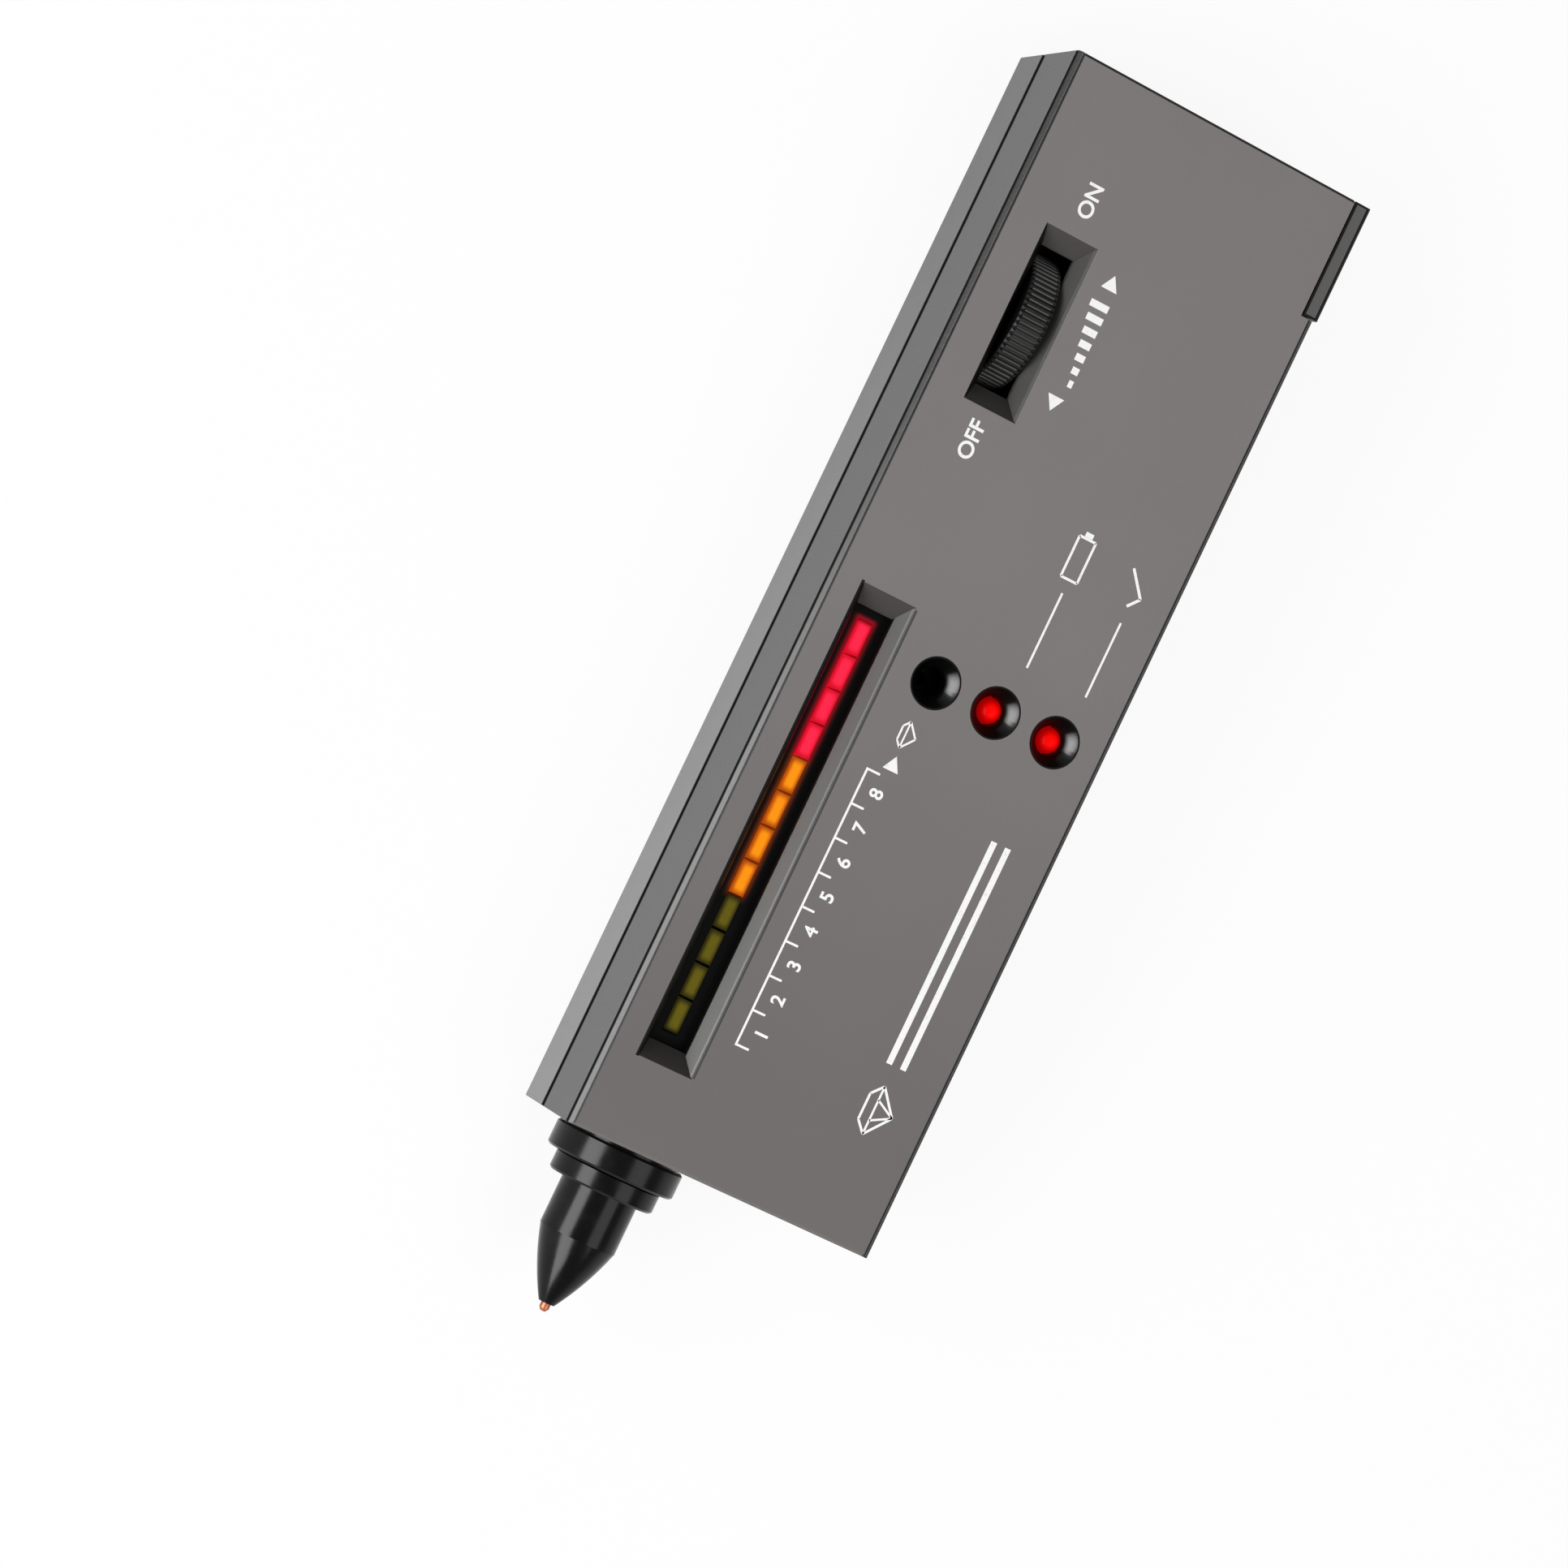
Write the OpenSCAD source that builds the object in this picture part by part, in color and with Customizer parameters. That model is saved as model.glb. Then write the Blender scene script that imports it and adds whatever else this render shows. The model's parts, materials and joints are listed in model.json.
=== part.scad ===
// Handheld diamond tester: a two-shell case with a lamp bar, a volume wheel and a sprung probe.
// It lies on its back. +Z points out of the face, +Y to the end with the battery, -Y along the nose.
// All sizes are in millimetres.

/* [Case] */
// Length of the case without the nose
body_l = 157.5; // [154:0.5:175]
// Width of the case
body_w = 47; // [46:0.5:56]
// Height of the rear shell, up to the seam
seam_z = 9.4; // [8.6:0.1:10.4]
// Thickness of the side walls
wall = 2; // [1.6:0.1:2.4]
// Thickness of the face
face_t = 2; // [1.6:0.1:2.4]
// Thickness of the back
back_t = 2; // [1.8:0.1:2.6]
// Thickness of the end wall that carries the nose
end_wall = 2.4; // [1.8:0.1:3]
// Thickness of the top end wall, at the face
top_wall = 3.2; // [2.8:0.1:4]
// Set-back of the top end at its back edge
top_draft = 1.5; // [0.4:0.1:1.8]
// Rounding of the back edges
back_r = 1.8; // [0.8:0.1:2.2]
// Chamfer along the long edges of the face
face_chamfer = 0.75; // [0.3:0.05:1.2]
// Chamfer along the two ends of the face
end_chamfer = 0.45; // [0.2:0.05:1]
// Width and depth of the trim groove under the long chamfers
trim_groove = 0.45; // [0.2:0.05:0.6]
// Width and depth of the groove between the long chamfers and the face
edge_groove = 0.3; // [0.2:0.05:0.4]
// Width and depth of the shadow gap along the seam
seam_gap = 0.6; // [0.3:0.05:0.8]

/* [Reading window] */
// Number of bar lamps, in three equal colour groups
lamp_count = 12; // [6:3:12]
// Distance from one bar lamp to the next
lamp_pitch = 5.08; // [4.4:0.02:5.4]
// Gap between neighbouring bar lamps
lamp_gap = 0.35; // [0.2:0.05:0.6]
// Width of a bar lamp
lamp_w = 2; // [1.6:0.1:2.6]
// Height of a bar lamp's body
lamp_h = 7; // [5:0.1:8]
// Depth of the bar lamps' tops below the face
lamp_depth = 4; // [3.8:0.1:5]
// Distance of the lamp row from the left side
bar_in = 8.85; // [8.5:0.05:9.5]
// Start of the lamp row, from the nose end
bar_start = 16.2; // [15.6:0.1:20]
// Free width beside the lamps in the window
window_side = 1.75; // [1.2:0.05:2]
// Free length beyond the lamps in the window
window_end = 1.6; // [1:0.1:2]
// Run of the window's side bevels
window_bevel = 1.5; // [0.6:0.1:1.8]
// Run of the window's end bevels
window_end_bevel = 2.7; // [1:0.1:3]
// Depth of the window's bevels
window_depth = 2.8; // [2.4:0.1:3]

/* [Volume wheel] */
// Radius of the wheel
wheel_r = 9.8; // [8.4:0.1:10]
// Width of the wheel
wheel_w = 4.6; // [3.6:0.1:4.8]
// Number of grip ribs round the wheel
wheel_ribs = 72; // [48:4:96]
// Depth of the grip ribs
rib_depth = 0.35; // [0.2:0.05:0.5]
// How far the wheel stands out of the face
wheel_proud = 0.6; // [0:0.1:1]
// Space between the wheel and the battery bay
wheel_room = 2.4; // [2:0.1:3]
// Distance of the wheel's axis from the nose end
slot_y = 122.2; // [119:0.1:125]
// Gap between the wheel and the slot's sides
slot_side = 0.3; // [0.3:0.05:0.6]
// Gap between the wheel and the slot's ends
slot_end = 0.5; // [0.4:0.1:1.2]
// Run of the slot's side bevels
slot_bevel = 1.55; // [0.6:0.05:1.8]
// Run of the slot's end bevels
slot_end_bevel = 2.65; // [1:0.05:3]
// Depth of the slot's bevels
slot_depth = 2.4; // [2.4:0.1:2.6]
// Radius of the volume control's body
pot_r = 5.2; // [4.6:0.1:5.3]
// Radius of the volume control's shaft
shaft_r = 2; // [1.6:0.1:2.4]

/* [Round wells] */
// Radius of the wells in the face
well_r = 3.65; // [3.2:0.05:3.8]
// Distance of the first well from the left side
well_in = 20.1; // [19.9:0.05:20.5]
// Distance from one well to the next
well_pitch = 9.55; // [9.4:0.05:9.7]
// Distance of the wells from the nose end
well_y = 73.6; // [72:0.1:75]
// Radius of a signal lamp's dome
dome_r = 1.85; // [1.5:0.05:2]
// Depth of a dome's top below the face
dome_depth = 1.3; // [0.3:0.1:2.4]
// Radius of the buzzer
buzzer_r = 6; // [5:0.1:6.3]
// Height of the buzzer
buzzer_h = 9.5; // [7:0.1:11]

/* [Nose] */
// Distance of the nose's axis from the left side
nose_in = 12.15; // [11.8:0.05:13]
// Height of the nose's axis above the back
nose_z = 11; // [10.8:0.1:11.5]
// Radius of the flange against the case
flange_r = 9.25; // [8:0.05:10]
// Length of the flange
flange_l = 4.2; // [3:0.1:5]
// Radius of the clamp collar
collar_r = 7.6; // [7:0.1:8.4]
// Length of the clamp collar
collar_l = 2.9; // [2.6:0.1:4]
// Radius of the straight barrel
barrel_r = 5.5; // [5:0.1:5.8]
// Length of the straight barrel
barrel_l = 7.1; // [6.6:0.1:9]
// Length of the cone
cone_l = 9.6; // [7:0.1:12]
// Radius of the cone's end
cone_end_r = 1.15; // [1.05:0.05:1.6]
// How far the cone bulges past a straight line
cone_bulge = 0.35; // [0.1:0.05:0.8]
// Radius of the spigot that the case holds
spigot_r = 6.4; // [6:0.1:6.6]
// Radius of the chamber inside the nose
chamber_r = 3.3; // [3:0.1:3.6]
// Radius of the probe tip
tip_r = 0.7; // [0.5:0.05:0.8]
// How far the tip stands out, which is its stroke
tip_out = 1.2; // [0.6:0.1:1.6]
// Radius of the probe's stem
stem_r = 1; // [0.8:0.05:1.2]
// Mean radius of the return spring
spring_r = 2; // [1.8:0.05:2.3]
// Radius of the return spring's wire
spring_wire = 0.22; // [0.15:0.01:0.25]
// Turns of the return spring
spring_turns = 5; // [3:1:6]

/* [Battery] */
// Length of the battery's case, which is a standard 9 V block
battery_l = 46; // [44:0.5:47]
// Width of the battery
battery_w = 26.5; // [25.5:0.5:27]
// Depth of the battery, which sets the depth of the case
battery_d = 17.5; // [16.5:0.5:19]
// Height of the battery's terminals
terminal_h = 2.6; // [2.4:0.1:3]
// Room over and under the battery
battery_room = 0.45; // [0.3:0.05:0.8]
// Length of the cover's tab on the right side
tab_l = 17; // [12:0.5:22]
// Width of the tab as seen from the face
tab_w = 2.45; // [1.6:0.05:2.5]
// How far the tab stands out of the side
tab_proud = 0.6; // [0.2:0.05:1]

/* [Circuit board] */
// Thickness of the board
board_t = 1.6; // [1:0.1:2]
// Height of the board's underside
board_z = 4.4; // [4.2:0.1:4.8]

/* [Fasteners] */
// Radius of the case screws
case_screw_r = 1.15; // [0.9:0.05:1.3]
// Radius of the case screws' heads
case_head_r = 2.3; // [2:0.05:2.4]
// Radius of the board screws
board_screw_r = 1; // [0.8:0.05:1.1]
// Radius of the board screws' heads
board_head_r = 1.9; // [1.6:0.05:2.1]

/* [Fits] */
// Radial clearance of a turning or sliding shaft
running_gap = 0.06; // [0.03:0.01:0.1]
// Clearance between fitted pieces
seat_gap = 0.1; // [0.05:0.01:0.15]
// Gap between the battery cover and the shells
cover_gap = 0.3; // [0.1:0.05:0.4]

/* [Hidden] */
$fn = 96;
over = 1;

// Levels of the case. Its depth follows the battery that it holds.
hw = body_w / 2;
body_d = back_t + battery_d + 2 * battery_room + face_t;
face_z = body_d;
under_face = face_z - face_t;
inner_x = hw - wall;
cavity_y1 = body_l - top_wall;
draft_angle = atan(top_draft / body_d);
board_top = board_z + board_t;
frame_t = 1.2;
frame_drop = 0.8;
edge_break = 0.4;

// Nose stations, measured outwards from the case's end
collar_s = flange_l + collar_l;
barrel_s = collar_s + barrel_l;
cone_s = barrel_s + cone_l;
tip_s = cone_s + tip_out;
nose_x = -hw + nose_in;
frame_y = (tip_s - body_l) / 2;

// Reading window
bar_x = -hw + bar_in;
bar_l = lamp_count * lamp_pitch;
bar_y = bar_start + bar_l / 2;
window_w = lamp_w + 2 * window_side;
window_l = bar_l + 2 * window_end;
lamp_top = face_z - lamp_depth;
holder_lower = 0.3;
holder_wall = 3.1;
holder_end = 2;
holder_x1 = bar_x + lamp_w / 2 + holder_wall;
holder_y1 = bar_y + bar_l / 2 + holder_end;
leg_w = 0.5;
leg_pitch = 2.54;

// Round wells: the first is the buzzer's outlet, the others hold the signal lamps
well_x = [for (i = [0:2]) -hw + well_in + i * well_pitch];
bezel_rim = 0.2;
bezel_skirt = 0.8;
bezel_depth = 4.2;
throat_depth = 2;
throat_gap = 0.2;
throat_r = dome_r + throat_gap;
dome_foot = 6.2;
dome_base = face_z - dome_foot;
dome_flange = 0.45;
dome_flange_r = dome_r + dome_flange;
dome_flange_t = 1;
spacer_wall = 0.3;
spacer_r = dome_flange_r + spacer_wall;
spacer_bore = 1.65;
sound_hole_r = 1;
sound_hole_h = 2;

// Nose and probe
edge = 0.3;
flange_gap = 0.5;
flange_foot_r = flange_r - 1.2;
keeper_r = spigot_r + 1.8;
keeper_t = 1.9;
bore_r = chamber_r + 0.3;
thread_l = 1.2;
thread_r = collar_r - 1.4;
base_s = flange_l + thread_l;
lip_s = base_s + 0.8;
neck_step = 0.6;
neck_r = barrel_r - neck_step;
chamber_s = barrel_s + 0.8;
bead_l = 2;
bead_s = chamber_s - bead_l;
head_r = stem_r + 0.4;
head_s = bead_s - 0.4;
plug_s = base_s + 1.9;
ring_s = 1;
tip_taper = 0.45;
cone_crease = 0.05;
cone_root_r = barrel_r - cone_crease;
cone_chord = [cone_end_r - cone_root_r, cone_l];
cone_arc_r = (cone_chord * cone_chord) / (8 * cone_bulge) + cone_bulge / 2;
cone_mid = [(cone_root_r + cone_end_r) / 2, barrel_s + cone_l / 2];
cone_out = [cone_chord[1], -cone_chord[0]] / norm(cone_chord);
cone_centre = cone_mid - cone_out * (cone_arc_r - cone_bulge);

// Battery bay, placed from the right side and the top end
battery_side = 0.2;
battery_end = 0.7;
battery_x1 = inner_x - battery_side;
battery_x0 = battery_x1 - battery_w;
battery_x = (battery_x0 + battery_x1) / 2;
battery_y1 = cavity_y1 - battery_end;
battery_y0 = battery_y1 - battery_l;
battery_z0 = back_t + battery_room;
battery_mid_z = battery_z0 + battery_d / 2;
jacket_t = 0.35;
terminal_y = battery_y0 - terminal_h;
terminal_pitch = 12.7;
stud_r = 2.9;
crown_r = 3.9;
snap_t = 2;
snap_y0 = terminal_y - snap_t;
bay_wall_t = 1.4;
bay_room = 0.4;
bay_y1 = snap_y0 - bay_room;
bay_y0 = bay_y1 - bay_wall_t;
bay_h = 15;
rail_t = 1.2;
ledge_t = 1;
guide_w = 1.3;
cover_recess = 0.15;
cover_x0 = battery_x0 - battery_end;
cover_x1 = inner_x - 0.5;
rail_x0 = cover_x0 - guide_w - seat_gap - rail_t;
tab_x1 = hw + tab_proud;
tab_x0 = tab_x1 - tab_w;
tab_top = face_z - 0.3;
tab_edge = 0.3;
tab_y0 = body_l - tab_l;
grip_count = 7;
grip_pitch = 2;
grip_depth = 0.35;
grip_in = 6;
wire_gate = [7.5, 14.5];
wire_gate_z = 8.5;

// Volume wheel, placed from the bay wall beside it
slot_x = rail_x0 - wheel_room - wheel_w / 2;
slot_w = wheel_w + 2 * slot_side;
slot_l = 2 * (wheel_r + slot_end);
axle_z = face_z + wheel_proud - wheel_r;
wheel_x0 = slot_x - wheel_w / 2;
wheel_x1 = slot_x + wheel_w / 2;
pot_side_gap = 0.3;
pot_wheel_gap = 0.8;
pot_x0 = -inner_x + pot_side_gap;
pot_x1 = wheel_x0 - pot_wheel_gap;
pot_foot = 5;
hub_r = shaft_r + 1.6;
rim_t = 1.8;
web_t = 1.6;
rim_chamfer = 0.3;
wheel_screw_r = 0.9;
wheel_head_r = 1.8;
wheel_head_t = 1;

// Circuit board and the posts that hold the case together
board_gap = 0.5;
board_in = 10.6;
board_y0 = end_wall + board_in;
board_bay_gap = 0.8;
board_y1 = bay_y0 - board_bay_gap;
board_x1 = inner_x - board_gap;
tongue_x1 = wheel_x0 - board_gap;
tongue_end = 3;
tongue_y1 = slot_y + pot_foot + tongue_end;
post_r = 3;
post_in = 4.3;
nose_post_in = 6.4;
nose_post_y = end_wall + nose_post_in;
post_wall_gap = 0.6;
right_post_y = bay_y0 - post_r - post_wall_gap;
top_post_in = 7;
screw_head_t = 1.8;
counterbore = 4;
case_screw_l = 11.5;
posts = [
  [-hw + post_in, nose_post_y],
  [hw - post_in, nose_post_y],
  [hw - post_in, right_post_y],
  [-hw + post_in, body_l - top_post_in]
];
notch_x0 = hw - post_in - post_r - board_gap;
notch_y0 = right_post_y - post_r - board_gap;
board_post_r = 2.3;
post_room = 0.5;
board_post_in = 6;
left_post_in = 4.9;
left_post_gap = 6.5;
board_post_end = 5;
amplifier_in = 24;
amplifier_step = 16;
board_head_t = 1.4;
board_screw_l = 7;
amplifier_y0 = board_y0 + amplifier_in;
board_posts = [
  [hw - board_post_in, board_y0 + board_post_end],
  [hw - board_post_in, amplifier_y0 + amplifier_step / 2],
  [-hw + left_post_in, holder_y1 + board_post_r + left_post_gap]
];
lip_t = 0.8;
lip_h = 1.2;
lip_room = 2;

// Parts on the board, in three columns spread evenly between the lamp holder and the right edge
chip_h = 3.4;
chip_w = 6.4;
chip_lift = 0.5;
chip_span = chip_w + 3 * leg_w;
capacitor_r = 3.2;
capacitor_h = 8;
column_gap = (board_x1 - holder_x1 - 2 * capacitor_r - 2 * chip_span) / 4;
column_x = [
  holder_x1 + column_gap + capacitor_r,
  holder_x1 + 2 * column_gap + 2 * capacitor_r + chip_span / 2,
  board_x1 - column_gap - chip_span / 2
];
driver_in = 31;
driver_at = [column_x[1], board_y0 + driver_in];
amplifier_at = [for (i = [0:1]) [column_x[2], amplifier_y0 + i * amplifier_step]];
capacitor_in = 15;
capacitor_step = 12;
capacitor_at = [for (i = [0:2]) [column_x[0], board_y0 + capacitor_in + i * capacitor_step]];
trimmer_in = 8;
trimmer_at = [column_x[1], board_y0 + trimmer_in];
trimmer_w = 6.6;
trimmer_h = 5;
transistor_in = 7.5;
transistor_at = [column_x[0], board_y0 + transistor_in];
transistor_r = 2.4;
transistor_h = 5;
resistor_rows = 2;
resistor_pitch = 2.8;
resistor_room = 0.8;
resistor_r = 1.1;
resistor_l = 4.4;
resistor_span = 7.4;
resistor_y1 = well_y - buzzer_r - resistor_room - resistor_r;

// Routes of the leads that the case holds, as hand-laid points from the pieces that they join
lead_r = 0.6;
probe_lead_r = 0.4;
probe_lead_off = (bore_r + stem_r) / 2;
lead_end = 0.05;
lead_sides = 8;
battery_lead_route = [
  [0, snap_y0 - lead_end, 12],
  [0, snap_y0 - 2.5, 12],
  [0, snap_y0 - 4.6, 11],
  [0, snap_y0 - 6, board_top + 2.8],
  [0, snap_y0 - 6.3, board_top + 1.4],
  [0, snap_y0 - 6.3, board_top + lead_end]
];
probe_lead_side = [
  [nose_x + probe_lead_off, lead_end, nose_z],
  [nose_x + probe_lead_off, end_wall + 3.2, nose_z],
  [nose_x + 2.8, end_wall + 7.2, nose_z - 0.8],
  [nose_x + 3.3, board_y0 + 0.6, nose_z - 2.2],
  [nose_x + 3.4, board_y0 + 2.2, board_top + 1],
  [nose_x + 3.4, board_y0 + 2.2, board_top + lead_end]
];
probe_lead_top = [
  [nose_x, lead_end, nose_z + probe_lead_off],
  [nose_x, end_wall + 3.6, nose_z + probe_lead_off],
  [nose_x + 2.4, end_wall + 7.6, nose_z + 1],
  [nose_x + 4.9, board_y0 + 1, nose_z - 2],
  [nose_x + 5.4, board_y0 + 3, board_top + 1],
  [nose_x + 5.4, board_y0 + 3, board_top + lead_end]
];

// Return spring: one tube wound on a formula, with its least gap measured on its centre points
coil_rings = 8;
coil_sides = 6;
coil_s0 = plug_s + spring_wire + lead_end;
coil_s1 = bead_s - spring_wire - lead_end;
coil_points = [
  for (i = [0:spring_turns * coil_rings])
  let (a = 360 * i / coil_rings)
  let (s = coil_s0 + (coil_s1 - coil_s0) * i / (spring_turns * coil_rings))
  [nose_x + spring_r * cos(a), -s, nose_z + spring_r * sin(a)]
];
coil_gap = min([
  for (i = [0:len(coil_points) - 1])
  for (j = [i + coil_rings / 2 : 1 : len(coil_points) - 1])
  norm(coil_points[i] - coil_points[j]) - 2 * spring_wire
]);
echo(least_spring_gap = coil_gap);

function unit(v) = v / norm(v);
function heading(p, i) = unit(p[min(i + 1, len(p) - 1)] - p[max(i - 1, 0)]);

// Rings of a tube along a route. The side direction is kept square to the given axis.
function tube_rings(p, r, sides, axis) = [
  for (i = [0:len(p) - 1])
  let (n = unit(cross(heading(p, i), axis)))
  let (b = cross(n, heading(p, i)))
  for (k = [0:sides - 1])
  p[i] + r * (cos(360 * k / sides) * n + sin(360 * k / sides) * b)
];

module tube(p, r, sides, axis) {
  last = (len(p) - 1) * sides;
  walls = [
    for (i = [0:len(p) - 2])
    for (k = [0:sides - 1])
    let (a = i * sides + k)
    let (b = i * sides + (k + 1) % sides)
    each [[a, b, a + sides], [b, b + sides, a + sides]]
  ];
  caps = [
    for (k = [1:sides - 2])
    each [[0, k + 1, k], [last, last + k, last + k + 1]]
  ];
  polyhedron(tube_rings(p, r, sides, axis), concat(walls, caps));
}

// Everything is drawn from the nose end of the case and then moved so that the origin is central.
module place() {
  translate([0, frame_y, 0]) children();
}

module along_y(y0, y1) {
  translate([0, y1, 0]) rotate([90, 0, 0]) linear_extrude(y1 - y0) children();
}

module along_x(x0, x1) {
  translate([x0, 0, 0]) rotate([90, 0, 90]) linear_extrude(x1 - x0) children();
}

module block(x, y, z) {
  translate([x[0], y[0], z[0]]) cube([x[1] - x[0], y[1] - y[0], z[1] - z[0]]);
}

module column(at, z, r) {
  translate([at[0], at[1], z[0]]) cylinder(h = z[1] - z[0], r = r);
}

// Turned pieces of the nose: the profile's first number is a radius, its second a nose station
module turned_nose() {
  translate([nose_x, 0, nose_z]) rotate([90, 0, 0]) rotate_extrude() children();
}

module nose_rod(s, r) {
  translate([nose_x, 0, nose_z]) rotate([90, 0, 0]) translate([0, 0, s[0]]) cylinder(h = s[1] - s[0], r = r);
}

// Turned pieces on the wheel's axle
module axle_rod(x, r) {
  translate([x[0], slot_y, axle_z]) rotate([0, 90, 0]) cylinder(h = x[1] - x[0], r = r);
}

// Section across the case: rounded back edges and a chamfered face
module cross_profile() {
  polygon([
    [-hw, back_r],
    [hw, back_r],
    [hw, face_z - face_chamfer],
    [hw - face_chamfer, face_z],
    [face_chamfer - hw, face_z],
    [-hw, face_z - face_chamfer]
  ]);
  translate([back_r - hw, 0]) square([body_w - 2 * back_r, 2 * back_r]);
  for (side = [-1, 1]) {
    translate([side * (hw - back_r), back_r]) circle(back_r);
  }
}

// Section along the case: upright nose end, drafted top end
module side_profile() {
  round_y = body_l - top_draft + back_r * tan(draft_angle) - back_r / cos(draft_angle);
  polygon([
    [back_r, 0],
    [round_y, 0],
    [round_y + back_r * cos(draft_angle), back_r - back_r * sin(draft_angle)],
    [body_l - end_chamfer * tan(draft_angle), face_z - end_chamfer],
    [body_l - end_chamfer, face_z],
    [end_chamfer, face_z],
    [0, face_z - end_chamfer],
    [0, back_r]
  ]);
  translate([back_r, back_r]) circle(back_r);
  translate([round_y, back_r]) circle(back_r);
}

module case_solid() {
  intersection() {
    along_y(-over, body_l + over) cross_profile();
    along_x(-body_w, body_w) side_profile();
  }
}

module cavity() {
  block([-inner_x, inner_x], [end_wall, cavity_y1], [back_t, under_face]);
}

// Section of a funnel: sloping sides with a broken edge at the face
module funnel_profile(middle, w, run, depth) {
  half = w / 2 + run;
  polygon([
    [middle - w / 2, face_z - depth],
    [middle + w / 2, face_z - depth],
    [middle + half - edge_break, face_z - edge_break],
    [middle + half + over, face_z + over],
    [middle - half - over, face_z + over],
    [middle - half + edge_break, face_z - edge_break]
  ]);
}

// Funnel from the face down to a straight opening
module bevelled_opening(at, w, l, run, end_run, depth) {
  floor_z = face_z - depth;
  intersection() {
    along_y(at[1] - l, at[1] + l) funnel_profile(at[0], w, run, depth);
    along_x(at[0] - 2 * w, at[0] + 2 * w) funnel_profile(at[1], l, end_run, depth);
  }
  block(
    [at[0] - w / 2, at[0] + w / 2],
    [at[1] - l / 2, at[1] + l / 2],
    [floor_z - frame_drop - over, face_z]
  );
}

// Rim behind the face that carries such a funnel
module opening_frame(at, w, l, run, end_run, depth) {
  share = (depth - face_t) / (depth - edge_break);
  half_w = w / 2 + (run - edge_break) * share + frame_t;
  half_l = l / 2 + (end_run - edge_break) * share + frame_t;
  block(
    [at[0] - half_w, at[0] + half_w],
    [at[1] - half_l, at[1] + half_l],
    [face_z - depth - frame_drop, under_face]
  );
}

// Corner of both shells that the battery cover's tab fills
module tab_notch() {
  y = [tab_y0 - cover_gap, body_l + over];
  block([tab_x0 - cover_gap, hw + over], y, [-over, face_z + over]);
  block([inner_x - over, hw + over], y, [back_t, under_face]);
}

module front_shell() color([0.44, 0.43, 0.42]) place() {
  window = [bar_x, bar_y];
  slot = [slot_x, slot_y];
  difference() {
    union() {
      difference() {
        intersection() {
          case_solid();
          block([-body_w, body_w], [-over, body_l + over], [seam_z, face_z + over]);
        }
        cavity();
      }
      opening_frame(window, window_w, window_l, window_bevel, window_end_bevel, window_depth);
      opening_frame(slot, slot_w, slot_l, slot_bevel, slot_end_bevel, slot_depth);
      for (at = posts) {
        column(at, [seam_z, under_face], post_r);
      }
      for (at = board_posts) {
        column(at, [board_top, under_face], board_post_r);
      }
    }
    bevelled_opening(window, window_w, window_l, window_bevel, window_end_bevel, window_depth);
    bevelled_opening(slot, slot_w, slot_l, slot_bevel, slot_end_bevel, slot_depth);
    for (x = well_x) {
      column([x, well_y], [under_face - over, face_z + over], well_r);
    }
    for (at = posts) {
      column(at, [seam_z - over, counterbore + case_screw_l + over], case_screw_r + seat_gap);
    }
    for (at = board_posts) {
      column(at, [board_top - over, board_z + board_screw_l + over], board_screw_r + seat_gap);
    }
    nose_rod([-end_wall - over, over], spigot_r + seat_gap);
    block(
      [nose_x - spigot_r - seat_gap, nose_x + spigot_r + seat_gap],
      [-over, end_wall + over],
      [seam_z - over, nose_z]
    );
    tab_notch();
    for (side = [-1, 1]) {
      translate([side * hw, 0, face_z - face_chamfer - trim_groove / 2])
        cube([2 * trim_groove, 3 * body_l, trim_groove], center = true);
      translate([side * (hw - face_chamfer), 0, face_z])
        cube([edge_groove, 3 * body_l, 2 * edge_groove], center = true);
    }
    seam_shadow();
  }
}

// Shallow rebate round the front shell's lower edge
module seam_shadow() {
  end_y = body_l - top_draft * (face_z - seam_z) / face_z;
  z = [seam_z - over, seam_z + seam_gap];
  difference() {
    block([-body_w, body_w], [-over, body_l + over], z);
    block([seam_gap - hw, hw - seam_gap], [seam_gap, end_y - seam_gap], [z[0] - over, z[1] + over]);
  }
}

module rear_shell() color([0.47, 0.46, 0.46]) place() {
  difference() {
    union() {
      difference() {
        intersection() {
          case_solid();
          block([-body_w, body_w], [-over, body_l + over], [-over, seam_z]);
        }
        cavity();
      }
      for (at = posts) {
        column(at, [back_t / 2, seam_z], post_r);
      }
      bay_walls();
      seam_lips();
    }
    for (at = posts) {
      column(at, [-over, counterbore], case_head_r + 3 * seat_gap);
      column(at, [0, seam_z + over], case_screw_r + 3 * seat_gap);
    }
    nose_rod([-end_wall - over, over], spigot_r + seat_gap);
    block([cover_x0, cover_x1], [bay_y1, body_l + over], [-over, back_t]);
    block(
      [cover_x0 - guide_w - seat_gap, cover_x1 + guide_w + seat_gap],
      [bay_y1, body_l + over],
      [ledge_t, back_t]
    );
    block([cover_x1 - over, hw + over], [tab_y0 - cover_gap, body_l + over], [-over, back_t]);
    tab_notch();
  }
}

// Walls of the battery bay, with the rail that guides the cover's left edge
module bay_walls() {
  bay_end = cavity_y1 - seat_gap;
  block([rail_x0, cover_x0], [bay_y0, bay_end], [back_t / 2, back_t + rail_t]);
  block([rail_x0, rail_x0 + bay_wall_t], [bay_y0, bay_end], [back_t, bay_h]);
  difference() {
    block([rail_x0, inner_x + wall / 2], [bay_y0, bay_y1], [back_t / 2, seam_z]);
    block(wire_gate, [bay_y0 - over, bay_y1 + over], [wire_gate_z, bay_h]);
  }
}

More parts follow.
